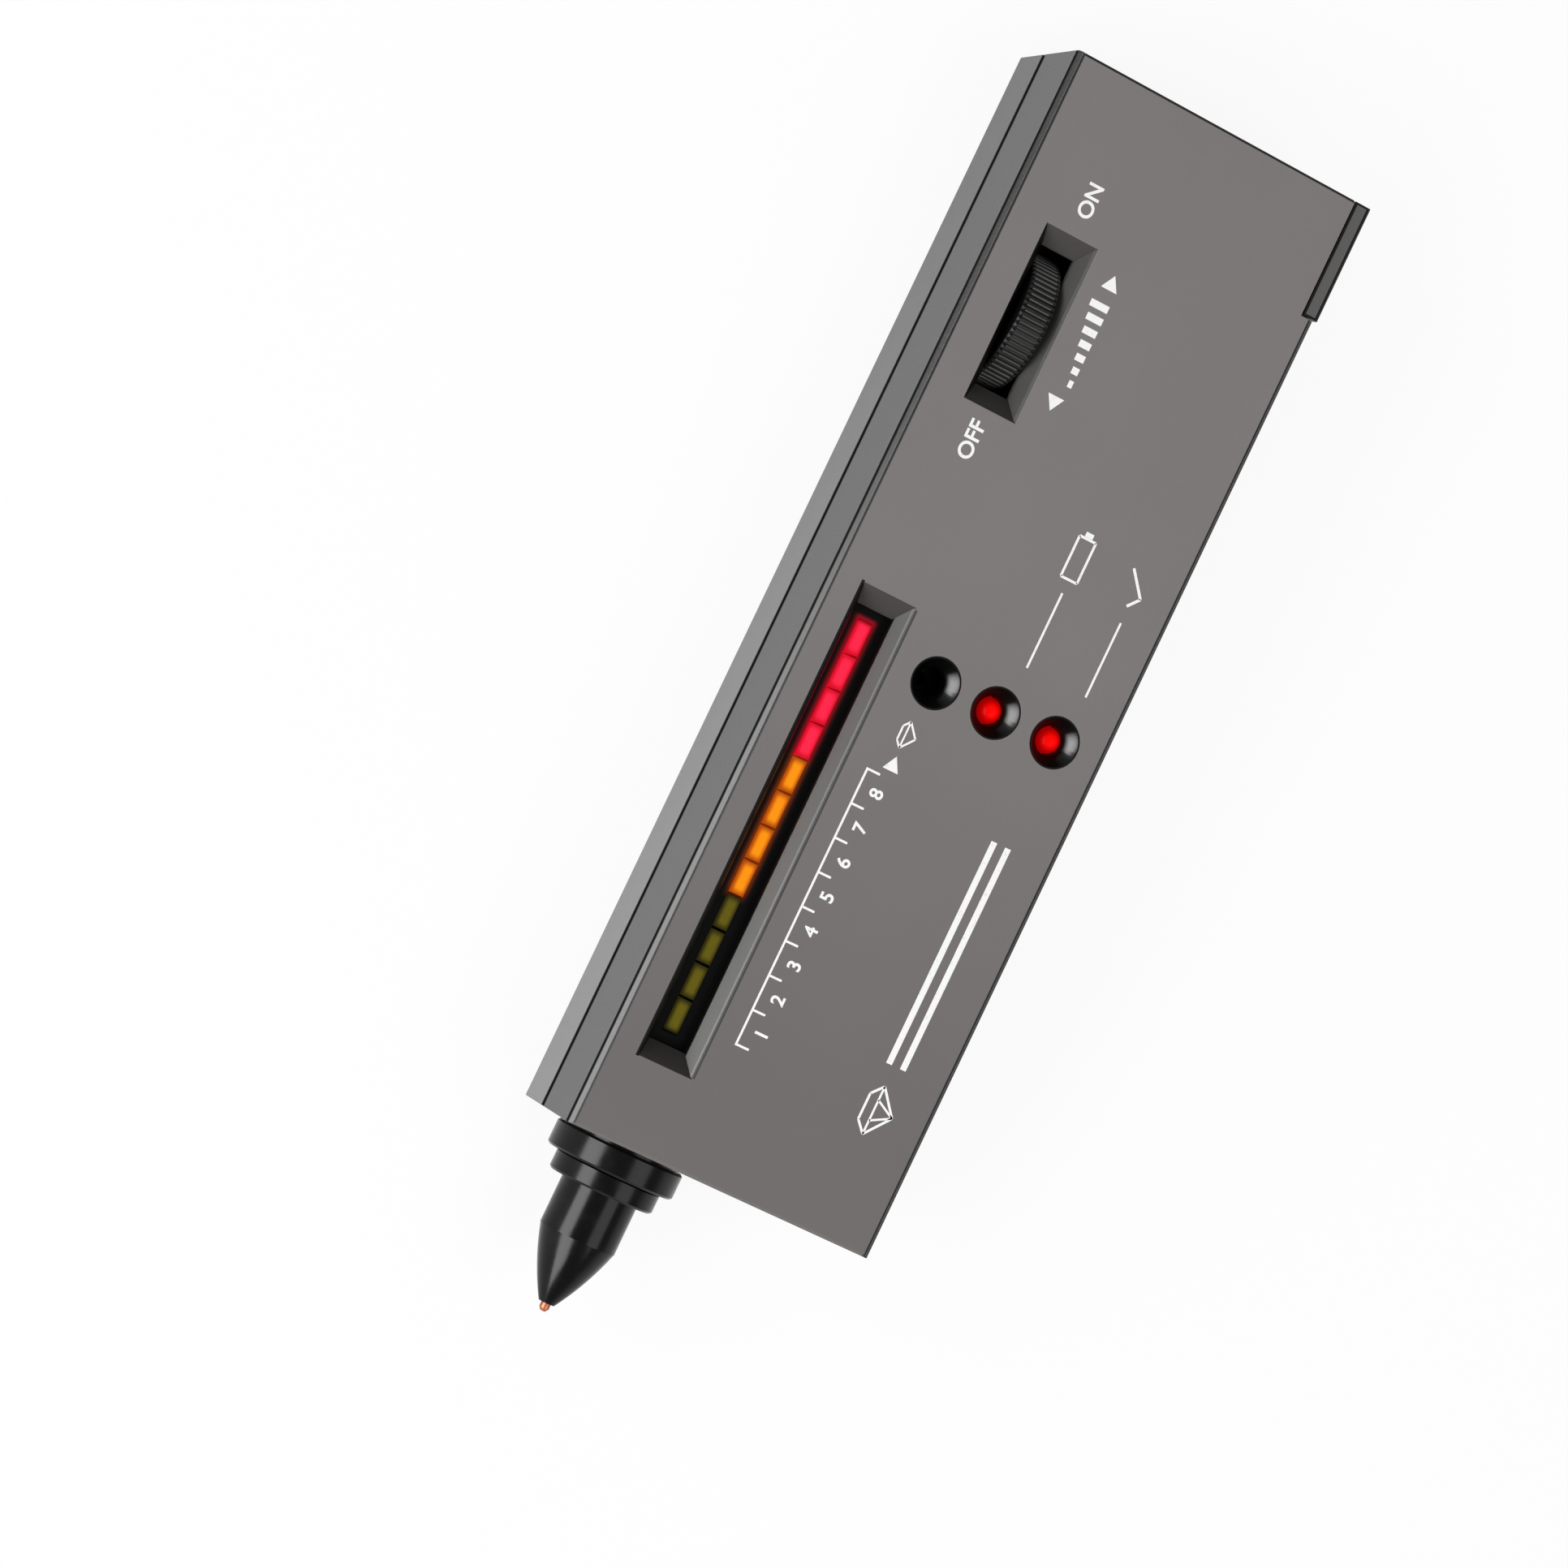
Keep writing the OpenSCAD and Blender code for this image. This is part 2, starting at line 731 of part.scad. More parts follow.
// Lips that stand inside the front shell's long walls and line the two shells up
module seam_lips() {
  lip_x1 = inner_x - seat_gap;
  z = [seam_z - lip_h, seam_z + lip_h];
  y0 = nose_post_y + post_r + lip_room;
  notch_r = board_post_r + post_room;
  for (run = [[-1, slot_y - pot_foot - 6 * lip_room], [1, right_post_y - post_r - lip_room]]) {
    x = run[0] * (lip_x1 - lip_t / 2);
    difference() {
      block([x - lip_t / 2, x + lip_t / 2], [y0, run[1]], z);
      for (at = board_posts) {
        if (at[0] * run[0] > 0) {
          block([-body_w, body_w], [at[1] - notch_r, at[1] + notch_r], [z[0] - over, z[1] + over]);
        }
      }
    }
    foot_x = run[0] * (inner_x - lip_t / 4);
    block(
      [foot_x - lip_t / 2, foot_x + lip_t / 2],
      [y0, run[1]],
      [seam_z - 2 * lip_h, seam_z - lip_h / 2]
    );
  }
}

// Sliding cover: a plate with guide edges and a tab that wraps round the right side
module battery_cover() color([0.36, 0.35, 0.35]) place() {
  y = [bay_y1 + cover_gap, body_l + over];
  mid_z = ledge_t + seat_gap;
  top_z = back_t - seat_gap;
  tab_foot = back_r + cover_recess;
  difference() {
    intersection() {
      union() {
        block([cover_x0 + cover_gap, cover_x1 - cover_gap], y, [cover_recess, top_z]);
        block([cover_x0 - guide_w + seat_gap, cover_x1 + guide_w - seat_gap], y, [mid_z, top_z]);
        along_y(tab_y0, body_l + over) {
          translate([cover_x1 - over, cover_recess])
            square([tab_x1 - back_r - cover_x1 + over, top_z - cover_recess]);
          polygon([
            [tab_x0, tab_foot],
            [tab_x1, tab_foot],
            [tab_x1, tab_top - tab_edge],
            [tab_x1 - tab_edge, tab_top],
            [tab_x0, tab_top]
          ]);
          intersection() {
            translate([tab_x1 - back_r, tab_foot]) circle(back_r);
            translate([tab_x0, 0]) square([tab_w, face_z]);
          }
        }
      }
      along_x(-body_w, body_w) side_profile();
    }
    for (i = [0:grip_count - 1]) {
      grip_y = tab_y0 + 2 + i * grip_pitch;
      block(
        [cover_x0 + grip_in, cover_x1 - grip_in],
        [grip_y, grip_y + grip_pitch / 2],
        [-over, cover_recess + grip_depth]
      );
    }
  }
}

module screw(at, z, head, shank_l, r, head_r) {
  difference() {
    union() {
      column(at, [z - head, z], head_r);
      column(at, [z - head / 2, z + shank_l], r);
    }
    for (turn = [0, 90]) {
      translate([at[0], at[1], z - head]) rotate([0, 0, turn])
        cube([1.2 * head_r, 0.25 * head_r, head], center = true);
    }
  }
}

module case_screws() color("silver") place() {
  for (at = posts) {
    screw(at, counterbore, screw_head_t, case_screw_l, case_screw_r, case_head_r);
  }
}

module board_screws() color("silver") place() {
  for (at = board_posts) {
    screw(at, board_z, board_head_t, board_screw_l, board_screw_r, board_head_r);
  }
}

// Board with a tongue beside the wheel for the volume control
module main_board() color([0.1, 0.36, 0.22]) place() {
  difference() {
    translate([0, 0, board_z]) linear_extrude(board_t) polygon([
      [-board_x1, board_y0],
      [board_x1, board_y0],
      [board_x1, notch_y0],
      [notch_x0, notch_y0],
      [notch_x0, board_y1],
      [tongue_x1, board_y1],
      [tongue_x1, tongue_y1],
      [-board_x1, tongue_y1]
    ]);
    for (at = board_posts) {
      column(at, [board_z - over, board_top + over], board_screw_r + seat_gap);
    }
  }
}

// Black carrier that keeps the bar lamps in line
module bar_holder() color([0.05, 0.05, 0.05]) place() {
  half_w = lamp_w / 2 + holder_wall;
  half_l = bar_l / 2 + holder_end;
  z = [board_top, lamp_top - holder_lower];
  difference() {
    block([bar_x - half_w, bar_x + half_w], [bar_y - half_l, bar_y + half_l], z);
    block(
      [bar_x - lamp_w / 2 - seat_gap, bar_x + lamp_w / 2 + seat_gap],
      [bar_y - bar_l / 2, bar_y + bar_l / 2],
      [z[0] - over, z[1] + over]
    );
  }
}

// One colour group of bar lamps, each with its two legs down to the board
module bar_lamps(group) {
  group_size = lamp_count / 3;
  half_l = (lamp_pitch - lamp_gap) / 2;
  for (i = [0:group_size - 1]) {
    y = bar_start + (group * group_size + i + 0.5) * lamp_pitch;
    block([bar_x - lamp_w / 2, bar_x + lamp_w / 2], [y - half_l, y + half_l], [lamp_top - lamp_h, lamp_top]);
    for (side = [-1, 1]) {
      leg_y = y + side * leg_pitch / 2;
      block(
        [bar_x - leg_w / 2, bar_x + leg_w / 2],
        [leg_y - leg_w / 2, leg_y + leg_w / 2],
        [board_top, lamp_top - lamp_h]
      );
    }
  }
}

module bar_lamps_green() color([0.35, 0.35, 0.08]) place() bar_lamps(0);

module bar_lamps_amber() color([1, 0.58, 0.08]) place() bar_lamps(1);

module bar_lamps_red() color([1, 0.16, 0.3]) place() bar_lamps(2);

// Funnel-shaped bezels set into the wells from behind
module lamp_bezels() color([0.06, 0.06, 0.06]) place() {
  outer_r = well_r - seat_gap / 2;
  for (x = well_x) {
    translate([x, well_y, face_z]) rotate_extrude() polygon([
      [outer_r - bezel_rim, -seat_gap / 2],
      [outer_r, -seat_gap / 2],
      [outer_r, -face_t],
      [well_r + bezel_skirt, -face_t],
      [well_r + bezel_skirt, -face_t - bezel_skirt],
      [throat_r + bezel_skirt, -bezel_depth],
      [throat_r, -bezel_depth],
      [throat_r, -throat_depth]
    ]);
  }
}

module signal_lamp(x) {
  dome_z = face_z - dome_depth - dome_r;
  translate([x, well_y, 0]) {
    translate([0, 0, dome_base]) cylinder(h = dome_z - dome_base, r = dome_r);
    intersection() {
      translate([0, 0, dome_z]) sphere(dome_r);
      translate([0, 0, dome_z]) cylinder(h = 2 * dome_r, r = 2 * dome_r);
    }
    translate([0, 0, dome_base - dome_flange_t]) cylinder(h = dome_flange_t, r = dome_flange_r);
  }
  for (side = [-1, 1]) {
    leg_x = x + side * leg_pitch / 2;
    block(
      [leg_x - leg_w / 2, leg_x + leg_w / 2],
      [well_y - leg_w / 2, well_y + leg_w / 2],
      [board_top, dome_base - dome_flange_t / 2]
    );
  }
}

module battery_lamp() color([0.95, 0.05, 0.05]) place() signal_lamp(well_x[1]);

module ready_lamp() color([0.95, 0.05, 0.05]) place() signal_lamp(well_x[2]);

// Tubes that hold the signal lamps at the right height
module lamp_spacers() color([0.08, 0.08, 0.08]) place() {
  for (x = [well_x[1], well_x[2]]) {
    difference() {
      column([x, well_y], [board_top, dome_base - dome_flange_t], spacer_r);
      column([x, well_y], [board_top - over, dome_base], spacer_bore);
    }
  }
}

module buzzer() color([0.07, 0.07, 0.08]) place() {
  at = [well_x[0], well_y];
  top = board_top + buzzer_h;
  difference() {
    column(at, [board_top, top], buzzer_r);
    column(at, [top - sound_hole_h, top + over], sound_hole_r);
  }
}

// Ribbed rim, thin web and hub
module volume_wheel() color([0.09, 0.09, 0.09]) place() {
  root_r = wheel_r - rib_depth;
  step = 360 / wheel_ribs;
  rib_points = [
    for (i = [0:wheel_ribs - 1])
    for (corner = [[0, root_r], [0.25, wheel_r], [0.55, wheel_r], [0.8, root_r]])
    corner[1] * [cos((i + corner[0]) * step), sin((i + corner[0]) * step)]
  ];
  pocket = (wheel_w - web_t) / 2;
  translate([wheel_x0, slot_y, axle_z]) rotate([0, 90, 0]) difference() {
    intersection() {
      linear_extrude(wheel_w) polygon(rib_points);
      rotate_extrude() polygon([
        [0, 0],
        [wheel_r - rim_chamfer, 0],
        [wheel_r + over, rim_chamfer + over],
        [wheel_r + over, wheel_w - rim_chamfer - over],
        [wheel_r - rim_chamfer, wheel_w],
        [0, wheel_w]
      ]);
    }
    for (z = [-over, wheel_w - pocket]) {
      translate([0, 0, z]) difference() {
        cylinder(h = pocket + over, r = root_r - rim_t);
        cylinder(h = pocket + over, r = hub_r);
      }
    }
    translate([0, 0, -over]) cylinder(h = wheel_w + 2 * over, r = shaft_r + running_gap / 2);
  }
}

module wheel_screw() color("silver") place() {
  difference() {
    union() {
      axle_rod([wheel_x1, wheel_x1 + wheel_head_t], wheel_head_r);
      axle_rod([slot_x, wheel_x1 + wheel_head_t / 2], wheel_screw_r);
    }
    translate([wheel_x1 + wheel_head_t, slot_y, axle_z])
      cube([wheel_head_t, 0.25 * wheel_head_r, 3 * wheel_head_r], center = true);
  }
}

module pot_shaft() color([0.75, 0.74, 0.7]) place() {
  difference() {
    axle_rod([pot_x0 + 1, wheel_x1 - seat_gap], shaft_r);
    axle_rod([slot_x - over, wheel_x1 + over], wheel_screw_r + seat_gap / 2);
  }
}

// Volume control with its power switch, standing on the board's tongue
module pot_body() color([0.2, 0.2, 0.22]) place() {
  difference() {
    union() {
      axle_rod([pot_x0, pot_x1], pot_r);
      block([pot_x0, pot_x1], [slot_y - pot_foot, slot_y + pot_foot], [board_top, axle_z - pot_r / 2]);
    }
    axle_rod([pot_x0 + 1 - running_gap, pot_x1 + over], shaft_r + running_gap);
  }
}

// Flange against the case, its spigot through the end wall and the keeper behind it
module nose_flange() color([0.08, 0.08, 0.08]) place() {
  turned_nose() polygon([
    [bore_r, -end_wall - keeper_t],
    [keeper_r, -end_wall - keeper_t],
    [keeper_r, -end_wall],
    [spigot_r, -end_wall],
    [spigot_r, 0],
    [flange_foot_r, 0],
    [flange_foot_r, flange_gap],
    [flange_r - edge, flange_gap],
    [flange_r, flange_gap + edge],
    [flange_r, flange_l - edge],
    [flange_r - edge, flange_l],
    [thread_r, flange_l],
    [thread_r, base_s],
    [bore_r, base_s]
  ]);
}

// Collar that clamps the nose's base against the flange
module clamp_collar() color([0.08, 0.08, 0.08]) place() {
  turned_nose() polygon([
    [thread_r + seat_gap / 2, flange_l],
    [collar_r - edge, flange_l],
    [collar_r, flange_l + edge],
    [collar_r, collar_s - edge],
    [collar_r - edge, collar_s],
    [neck_r + seat_gap / 2, collar_s],
    [neck_r + seat_gap / 2, lip_s],
    [thread_r + seat_gap / 2, lip_s]
  ]);
}

// Barrel and cone in one turning, with the probe's chamber inside
module nose_cone() color([0.07, 0.07, 0.07]) place() {
  turned_nose() difference() {
    union() {
      translate([0, base_s]) square([thread_r, lip_s - base_s]);
      translate([0, lip_s]) square([neck_r, collar_s - lip_s]);
      translate([0, collar_s]) square([barrel_r, barrel_l]);
      intersection() {
        translate([0, barrel_s]) square([barrel_r, cone_l]);
        translate(cone_centre) circle(cone_arc_r, $fn = 720);
      }
    }
    translate([0, base_s - over]) square([chamber_r, chamber_s - base_s + over]);
    translate([0, base_s]) square([tip_r + running_gap, cone_s]);
  }
}

// Copper tip, the shoulder that seats in the chamber and the stem through the plug
module probe_tip() color([0.72, 0.45, 0.32]) place() {
  turned_nose() polygon([
    [0, 0],
    [stem_r, 0],
    [stem_r, head_s],
    [head_r, head_s],
    [head_r, chamber_s],
    [tip_r, chamber_s],
    [tip_r, tip_s - tip_taper],
    [tip_r / 2, tip_s],
    [0, tip_s]
  ]);
}

// Ceramic bead with the heater, pressed on the tip's shoulder
module heater_bead() color([0.9, 0.88, 0.82]) place() {
  turned_nose() polygon([
    [head_r + running_gap / 2, bead_s],
    [chamber_r - 3 * seat_gap, bead_s],
    [chamber_r - 3 * seat_gap, chamber_s],
    [head_r + running_gap / 2, chamber_s]
  ]);
}

module return_spring() color("silver") place() {
  tube(coil_points, spring_wire, coil_sides, [0, 1, 0]);
}

// Plug that carries the spring and guides the stem
module spring_plug() color([0.85, 0.85, 0.8]) place() {
  turned_nose() polygon([
    [stem_r + running_gap, ring_s],
    [bore_r - seat_gap, ring_s],
    [bore_r - seat_gap, base_s],
    [chamber_r - seat_gap, base_s],
    [chamber_r - seat_gap, plug_s],
    [stem_r + running_gap, plug_s]
  ]);
}

module plug_ring() color("goldenrod") place() {
  turned_nose() polygon([
    [stem_r + 5 * running_gap, 0],
    [bore_r - seat_gap / 2, 0],
    [bore_r - seat_gap / 2, ring_s],
    [stem_r + 5 * running_gap, ring_s]
  ]);
}

module probe_leads() color([0.9, 0.9, 0.9]) place() {
  tube(probe_lead_side, probe_lead_r, lead_sides, [1, 0, 0]);
  tube(probe_lead_top, probe_lead_r, lead_sides, [1, 0, 0]);
}

// Battery drawn smaller by the same amount on its four long sides
module battery_block(inset, y) {
  block(
    [battery_x0 + inset, battery_x1 - inset],
    y,
    [battery_z0 + inset, battery_z0 + battery_d - inset]
  );
}

module battery_jacket() color([0.3, 0.32, 0.36]) place() {
  difference() {
    battery_block(0, [battery_y0, battery_y1]);
    battery_block(jacket_t, [battery_y0 - over, battery_y1 + over]);
  }
}

module battery_cells() color([0.16, 0.16, 0.17]) place() battery_block(jacket_t, [battery_y0, battery_y1]);

module terminal_rod(side, y, r) {
  translate([battery_x + side * terminal_pitch / 2, y[1], battery_mid_z])
    rotate([90, 0, 0]) cylinder(h = y[1] - y[0], r = r);
}

// Round stud and wider socket crown
module battery_terminals() color("silver") place() {
  terminal_rod(-1, [terminal_y, battery_y0], stud_r);
  difference() {
    terminal_rod(1, [terminal_y, battery_y0], crown_r);
    terminal_rod(1, [terminal_y - over, battery_y0 - terminal_h / 3], stud_r);
  }
}

// Clip-on cap with a socket ring over the stud
module battery_snap() color([0.06, 0.06, 0.06]) place() {
  half_w = terminal_pitch / 2 + crown_r + 1.6;
  half_h = crown_r + 1.8;
  block(
    [battery_x - half_w, battery_x + half_w],
    [snap_y0, terminal_y],
    [battery_mid_z - half_h, battery_mid_z + half_h]
  );
  difference() {
    terminal_rod(-1, [terminal_y - snap_t / 2, battery_y0 - 2 * seat_gap], crown_r);
    terminal_rod(-1, [terminal_y, battery_y0 + over], stud_r + seat_gap);
  }
}

module battery_lead(x) {
  tube([for (p = battery_lead_route) p + [x, 0, 0]], lead_r, lead_sides, [1, 0, 0]);
}

module red_lead() color([0.8, 0.08, 0.06]) place() battery_lead(wire_gate[0] + 2);

module black_lead() color([0.06, 0.06, 0.06]) place() battery_lead(wire_gate[1] - 2);

// Dual in-line package with its two rows of legs
module chip(at, legs) {
  l = legs * leg_pitch;
  block(
    [at[0] - chip_w / 2, at[0] + chip_w / 2],
    [at[1] - l / 2, at[1] + l / 2],
    [board_top + chip_lift, board_top + chip_lift + chip_h]
  );
  for (side = [-1, 1]) {
    for (i = [0:legs - 1]) {
      x = at[0] + side * (chip_w / 2 + leg_w / 2);
      y = at[1] + (i - (legs - 1) / 2) * leg_pitch;
      block(
        [x - leg_w, x + leg_w],
        [y - leg_w, y + leg_w],
        [board_top, board_top + chip_lift + chip_h / 2]
      );
    }
  }
}

module driver_chip() color([0.1, 0.1, 0.11]) place() chip(driver_at, 9);

module amplifier_chips() color([0.1, 0.1, 0.11]) place() {
  for (at = amplifier_at) {
    chip(at, 4);
  }
}

module capacitors() color([0.12, 0.16, 0.4]) place() {
  for (at = capacitor_at) {
    column(at, [board_top, board_top + capacitor_h], capacitor_r);
  }
}

// Axial resistor lying over the board on its bent leads
module resistor(x, y) {
  z = board_top + resistor_r + 0.2;
  translate([x - resistor_l / 2, y, z]) rotate([0, 90, 0]) cylinder(h = resistor_l, r = resistor_r);
  block(
    [x - resistor_span / 2, x + resistor_span / 2],
    [y - leg_w / 2, y + leg_w / 2],
    [z - leg_w / 2, z + leg_w / 2]
  );
  for (side = [-1, 1]) {
    leg_x = x + side * (resistor_span - leg_w) / 2;
    block([leg_x - leg_w / 2, leg_x + leg_w / 2], [y - leg_w / 2, y + leg_w / 2], [board_top, z]);
  }
}

module resistors() color([0.75, 0.62, 0.44]) place() {
  for (x = column_x) {
    for (i = [0:resistor_rows - 1]) {
      resistor(x, resistor_y1 - i * resistor_pitch);
    }
  }
}

// Square calibration trimmer with a slotted rotor
module trimmer() color([0.1, 0.3, 0.7]) place() {
  half = trimmer_w / 2;
  top = board_top + trimmer_h;
  difference() {
    block(
      [trimmer_at[0] - half, trimmer_at[0] + half],
      [trimmer_at[1] - half, trimmer_at[1] + half],
      [board_top, top]
    );
    difference() {
      column(trimmer_at, [top - 0.6, top + over], 0.8 * half);
      column(trimmer_at, [top - over, top - 0.2], 0.7 * half);
    }
    translate([trimmer_at[0], trimmer_at[1], top]) cube([trimmer_w / 2, 0.8, 1.6], center = true);
  }
}

// Flat-sided package of the transistor that feeds the heater
module heater_transistor() color([0.09, 0.09, 0.09]) place() {
  difference() {
    column(transistor_at, [board_top, board_top + transistor_h], transistor_r);
    block(
      [transistor_at[0] - 2 * transistor_r, transistor_at[0] + 2 * transistor_r],
      [transistor_at[1] + transistor_r / 2, transistor_at[1] + 2 * transistor_r],
      [board_top - over, board_top + transistor_h + over]
    );
  }
}

front_shell();
rear_shell();
battery_cover();
case_screws();
main_board();
board_screws();
bar_holder();
bar_lamps_green();
bar_lamps_amber();
bar_lamps_red();
lamp_bezels();
battery_lamp();
ready_lamp();
lamp_spacers();
buzzer();
volume_wheel();
wheel_screw();
pot_shaft();
pot_body();
nose_flange();
clamp_collar();
nose_cone();
probe_tip();
heater_bead();
return_spring();
spring_plug();
plug_ring();
probe_leads();
battery_jacket();
battery_cells();
battery_terminals();
battery_snap();
red_lead();
black_lead();
driver_chip();
amplifier_chips();
capacitors();
resistors();
trimmer();
heater_transistor();
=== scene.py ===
import json
import math

import bmesh
import bpy
from mathutils import Matrix, Vector


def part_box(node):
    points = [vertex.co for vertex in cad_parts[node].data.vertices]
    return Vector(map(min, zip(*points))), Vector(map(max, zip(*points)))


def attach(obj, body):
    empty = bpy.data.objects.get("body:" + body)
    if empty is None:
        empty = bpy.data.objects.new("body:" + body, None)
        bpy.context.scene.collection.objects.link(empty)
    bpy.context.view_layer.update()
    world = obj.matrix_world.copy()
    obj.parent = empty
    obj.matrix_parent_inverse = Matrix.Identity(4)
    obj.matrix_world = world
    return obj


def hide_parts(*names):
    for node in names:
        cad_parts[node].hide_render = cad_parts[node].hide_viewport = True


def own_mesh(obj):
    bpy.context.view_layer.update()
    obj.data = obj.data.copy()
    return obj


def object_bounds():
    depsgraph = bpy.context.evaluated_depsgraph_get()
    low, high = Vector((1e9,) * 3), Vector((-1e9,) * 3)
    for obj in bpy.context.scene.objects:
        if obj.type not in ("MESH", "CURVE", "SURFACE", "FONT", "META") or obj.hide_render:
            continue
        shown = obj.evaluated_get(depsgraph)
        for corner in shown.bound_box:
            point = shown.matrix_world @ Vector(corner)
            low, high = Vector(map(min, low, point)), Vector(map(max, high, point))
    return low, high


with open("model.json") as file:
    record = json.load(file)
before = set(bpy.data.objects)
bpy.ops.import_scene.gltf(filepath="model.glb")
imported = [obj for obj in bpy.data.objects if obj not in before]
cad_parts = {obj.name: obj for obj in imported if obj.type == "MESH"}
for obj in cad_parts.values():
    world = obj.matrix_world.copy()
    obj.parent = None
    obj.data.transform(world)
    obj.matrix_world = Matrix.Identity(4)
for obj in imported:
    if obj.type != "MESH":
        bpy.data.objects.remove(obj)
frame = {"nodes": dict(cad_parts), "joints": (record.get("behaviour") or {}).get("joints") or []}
cadLow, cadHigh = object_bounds()
nodes = frame["nodes"]
mm = 0.001
caseLow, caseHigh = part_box("front_shell")
endY = caseLow.y  # nose end of the case
faceZ = caseHigh.z
print("frame:", len(nodes), "nodes")


# Colours from 0 to 255, as a shader takes them
def tint(red, green, blue):
    levels = [value / 255 for value in (red, green, blue)]
    return tuple(v / 12.92 if v <= 0.04045 else ((v + 0.055) / 1.055) ** 2.4 for v in levels) + (1.0,)


black = tint(0, 0, 0)
white = tint(255, 255, 255)


# Shader sockets that can be added and multiplied
class Wire:
    def __init__(self, bench, socket):
        self.bench = bench
        self.socket = socket

    def maths(self, operation, *values):
        return self.bench.node("ShaderNodeMath", {"operation": operation}, dict(enumerate(values)))

    def __add__(self, other):
        return self.maths("ADD", self, other)

    def __radd__(self, other):
        return self.maths("ADD", other, self)

    def __sub__(self, other):
        return self.maths("SUBTRACT", self, other)

    def __rsub__(self, other):
        return self.maths("SUBTRACT", other, self)

    def __mul__(self, other):
        return self.maths("MULTIPLY", self, other)

    def __rmul__(self, other):
        return self.maths("MULTIPLY", other, self)

    def __truediv__(self, other):
        return self.maths("DIVIDE", self, other)

    def __rtruediv__(self, other):
        return self.maths("DIVIDE", other, self)

    def __pow__(self, other):
        return self.maths("POWER", self, other)

    def __rpow__(self, other):
        return self.maths("POWER", other, self)

    def __abs__(self):
        return self.maths("ABSOLUTE", self)

    def __gt__(self, other):
        return self.maths("GREATER_THAN", self, other)

    def __lt__(self, other):
        return self.maths("LESS_THAN", self, other)

    def either(self, other):
        return self.maths("MAXIMUM", self, other)

    def fract(self):
        return self.maths("FRACT", self)

    def ramp(self, low, high):
        sockets = {"Value": self, "From Min": low, "From Max": high, "To Min": 0.0, "To Max": 1.0}
        return self.bench.node("ShaderNodeMapRange", {"interpolation_type": "SMOOTHSTEP"}, sockets)


# One material's nodes
class Bench:
    def __init__(self, tree):
        self.tree = tree
        tree.nodes.clear()

    def node(self, kind, settings=None, sockets=None, out=0):
        made = self.tree.nodes.new(kind)
        for name, value in (settings or {}).items():
            setattr(made, name, value)
        for name, value in (sockets or {}).items():
            if isinstance(value, Wire):
                self.tree.links.new(value.socket, made.inputs[name])
            else:
                made.inputs[name].default_value = value
        return Wire(self, made.outputs[out]) if len(made.outputs) else None

    def place(self):
        return self.node("ShaderNodeTexCoord", out="Object")

    def facing(self):
        return self.axes(self.node("ShaderNodeTexCoord", out="Normal"))

    def axes(self, vector):
        first = self.node("ShaderNodeSeparateXYZ", sockets={"Vector": vector})
        return [Wire(self, out) for out in first.socket.node.outputs]

    def scaled(self, vector, sizes):
        return self.node("ShaderNodeVectorMath", {"operation": "MULTIPLY"}, {0: vector, 1: sizes})

    def noise(self, vector, scale, detail=2.0, roughness=0.5):
        sockets = {"Vector": vector, "Scale": scale, "Detail": detail, "Roughness": roughness}
        return self.node("ShaderNodeTexNoise", sockets=sockets)

    def mix(self, factor, first, second):
        return self.node("ShaderNodeMix", {"data_type": "RGBA"}, {0: factor, 6: first, 7: second}, out=2)

    def bump(self, height, distance, strength=1.0):
        sockets = {"Height": height, "Distance": distance, "Strength": strength}
        return self.node("ShaderNodeBump", sockets=sockets)

    def shader(self, sockets):
        return self.node("ShaderNodeBsdfPrincipled", sockets=sockets)

    def surface(self, sockets):
        self.node("ShaderNodeOutputMaterial", sockets={"Surface": self.shader(sockets)})

    def blend(self, factor, first, second):
        return self.node("ShaderNodeMixShader", sockets={0: factor, 1: first, 2: second})

    def seen(self):  # what the camera sees, straight, mirrored or through glass
        path = self.node("ShaderNodeLightPath").socket.node
        rays = ("Is Camera Ray", "Is Glossy Ray", "Is Transmission Ray")
        straight, mirrored, through = [Wire(self, path.outputs[ray]) for ray in rays]
        return straight.either(mirrored.either(through))


def newFinish(name):
    material = bpy.data.materials.new(name)
    material.use_nodes = True
    return material, Bench(material.node_tree)


def paint(node, material):
    nodes[node].data.materials.clear()
    nodes[node].data.materials.append(material)


def show(name, data):
    made = bpy.data.objects.new(name, data)
    bpy.context.scene.collection.objects.link(made)
    return made


# Places on the case, in mm from its nose end and below its face
def fadeAlong(y, span):
    return y.ramp(endY + span[0] * mm, endY + span[1] * mm)


def inside(x, y, edges):
    left, right, low, high = edges
    across = (x > left * mm) * (x < right * mm)
    return across * (y > endY + low * mm) * (y < endY + high * mm)


def layer(z, top, foot):
    return (z < faceZ - top * mm) * (z > faceZ - foot * mm)


# Case: moulded grey plastic
mouldLook = {
    "cloud": 60.0, "cloudShare": 0.6, "grain": 2600.0, "grainDepth": 0.03, "grainBump": 0.6,
    "roughSpread": 0.2, "gloss": 0.15,
}


def mouldColour(bench, spot, look):
    cloud = bench.noise(spot, mouldLook["cloud"], 3.0)
    grain = bench.noise(spot, mouldLook["grain"])
    share = cloud * mouldLook["cloudShare"] + grain * (1 - mouldLook["cloudShare"])
    return bench.mix(share, tint(*look["dark"]), tint(*look["light"])), grain


def mouldSurface(bench, colour, rough, grain, height):
    bench.surface({
        "Base Color": colour, "Roughness": rough + (grain - 0.5) * mouldLook["roughSpread"],
        "Specular IOR Level": mouldLook["gloss"],
        "Normal": bench.bump(height, mouldLook["grainDepth"] * mm, mouldLook["grainBump"]),
    })


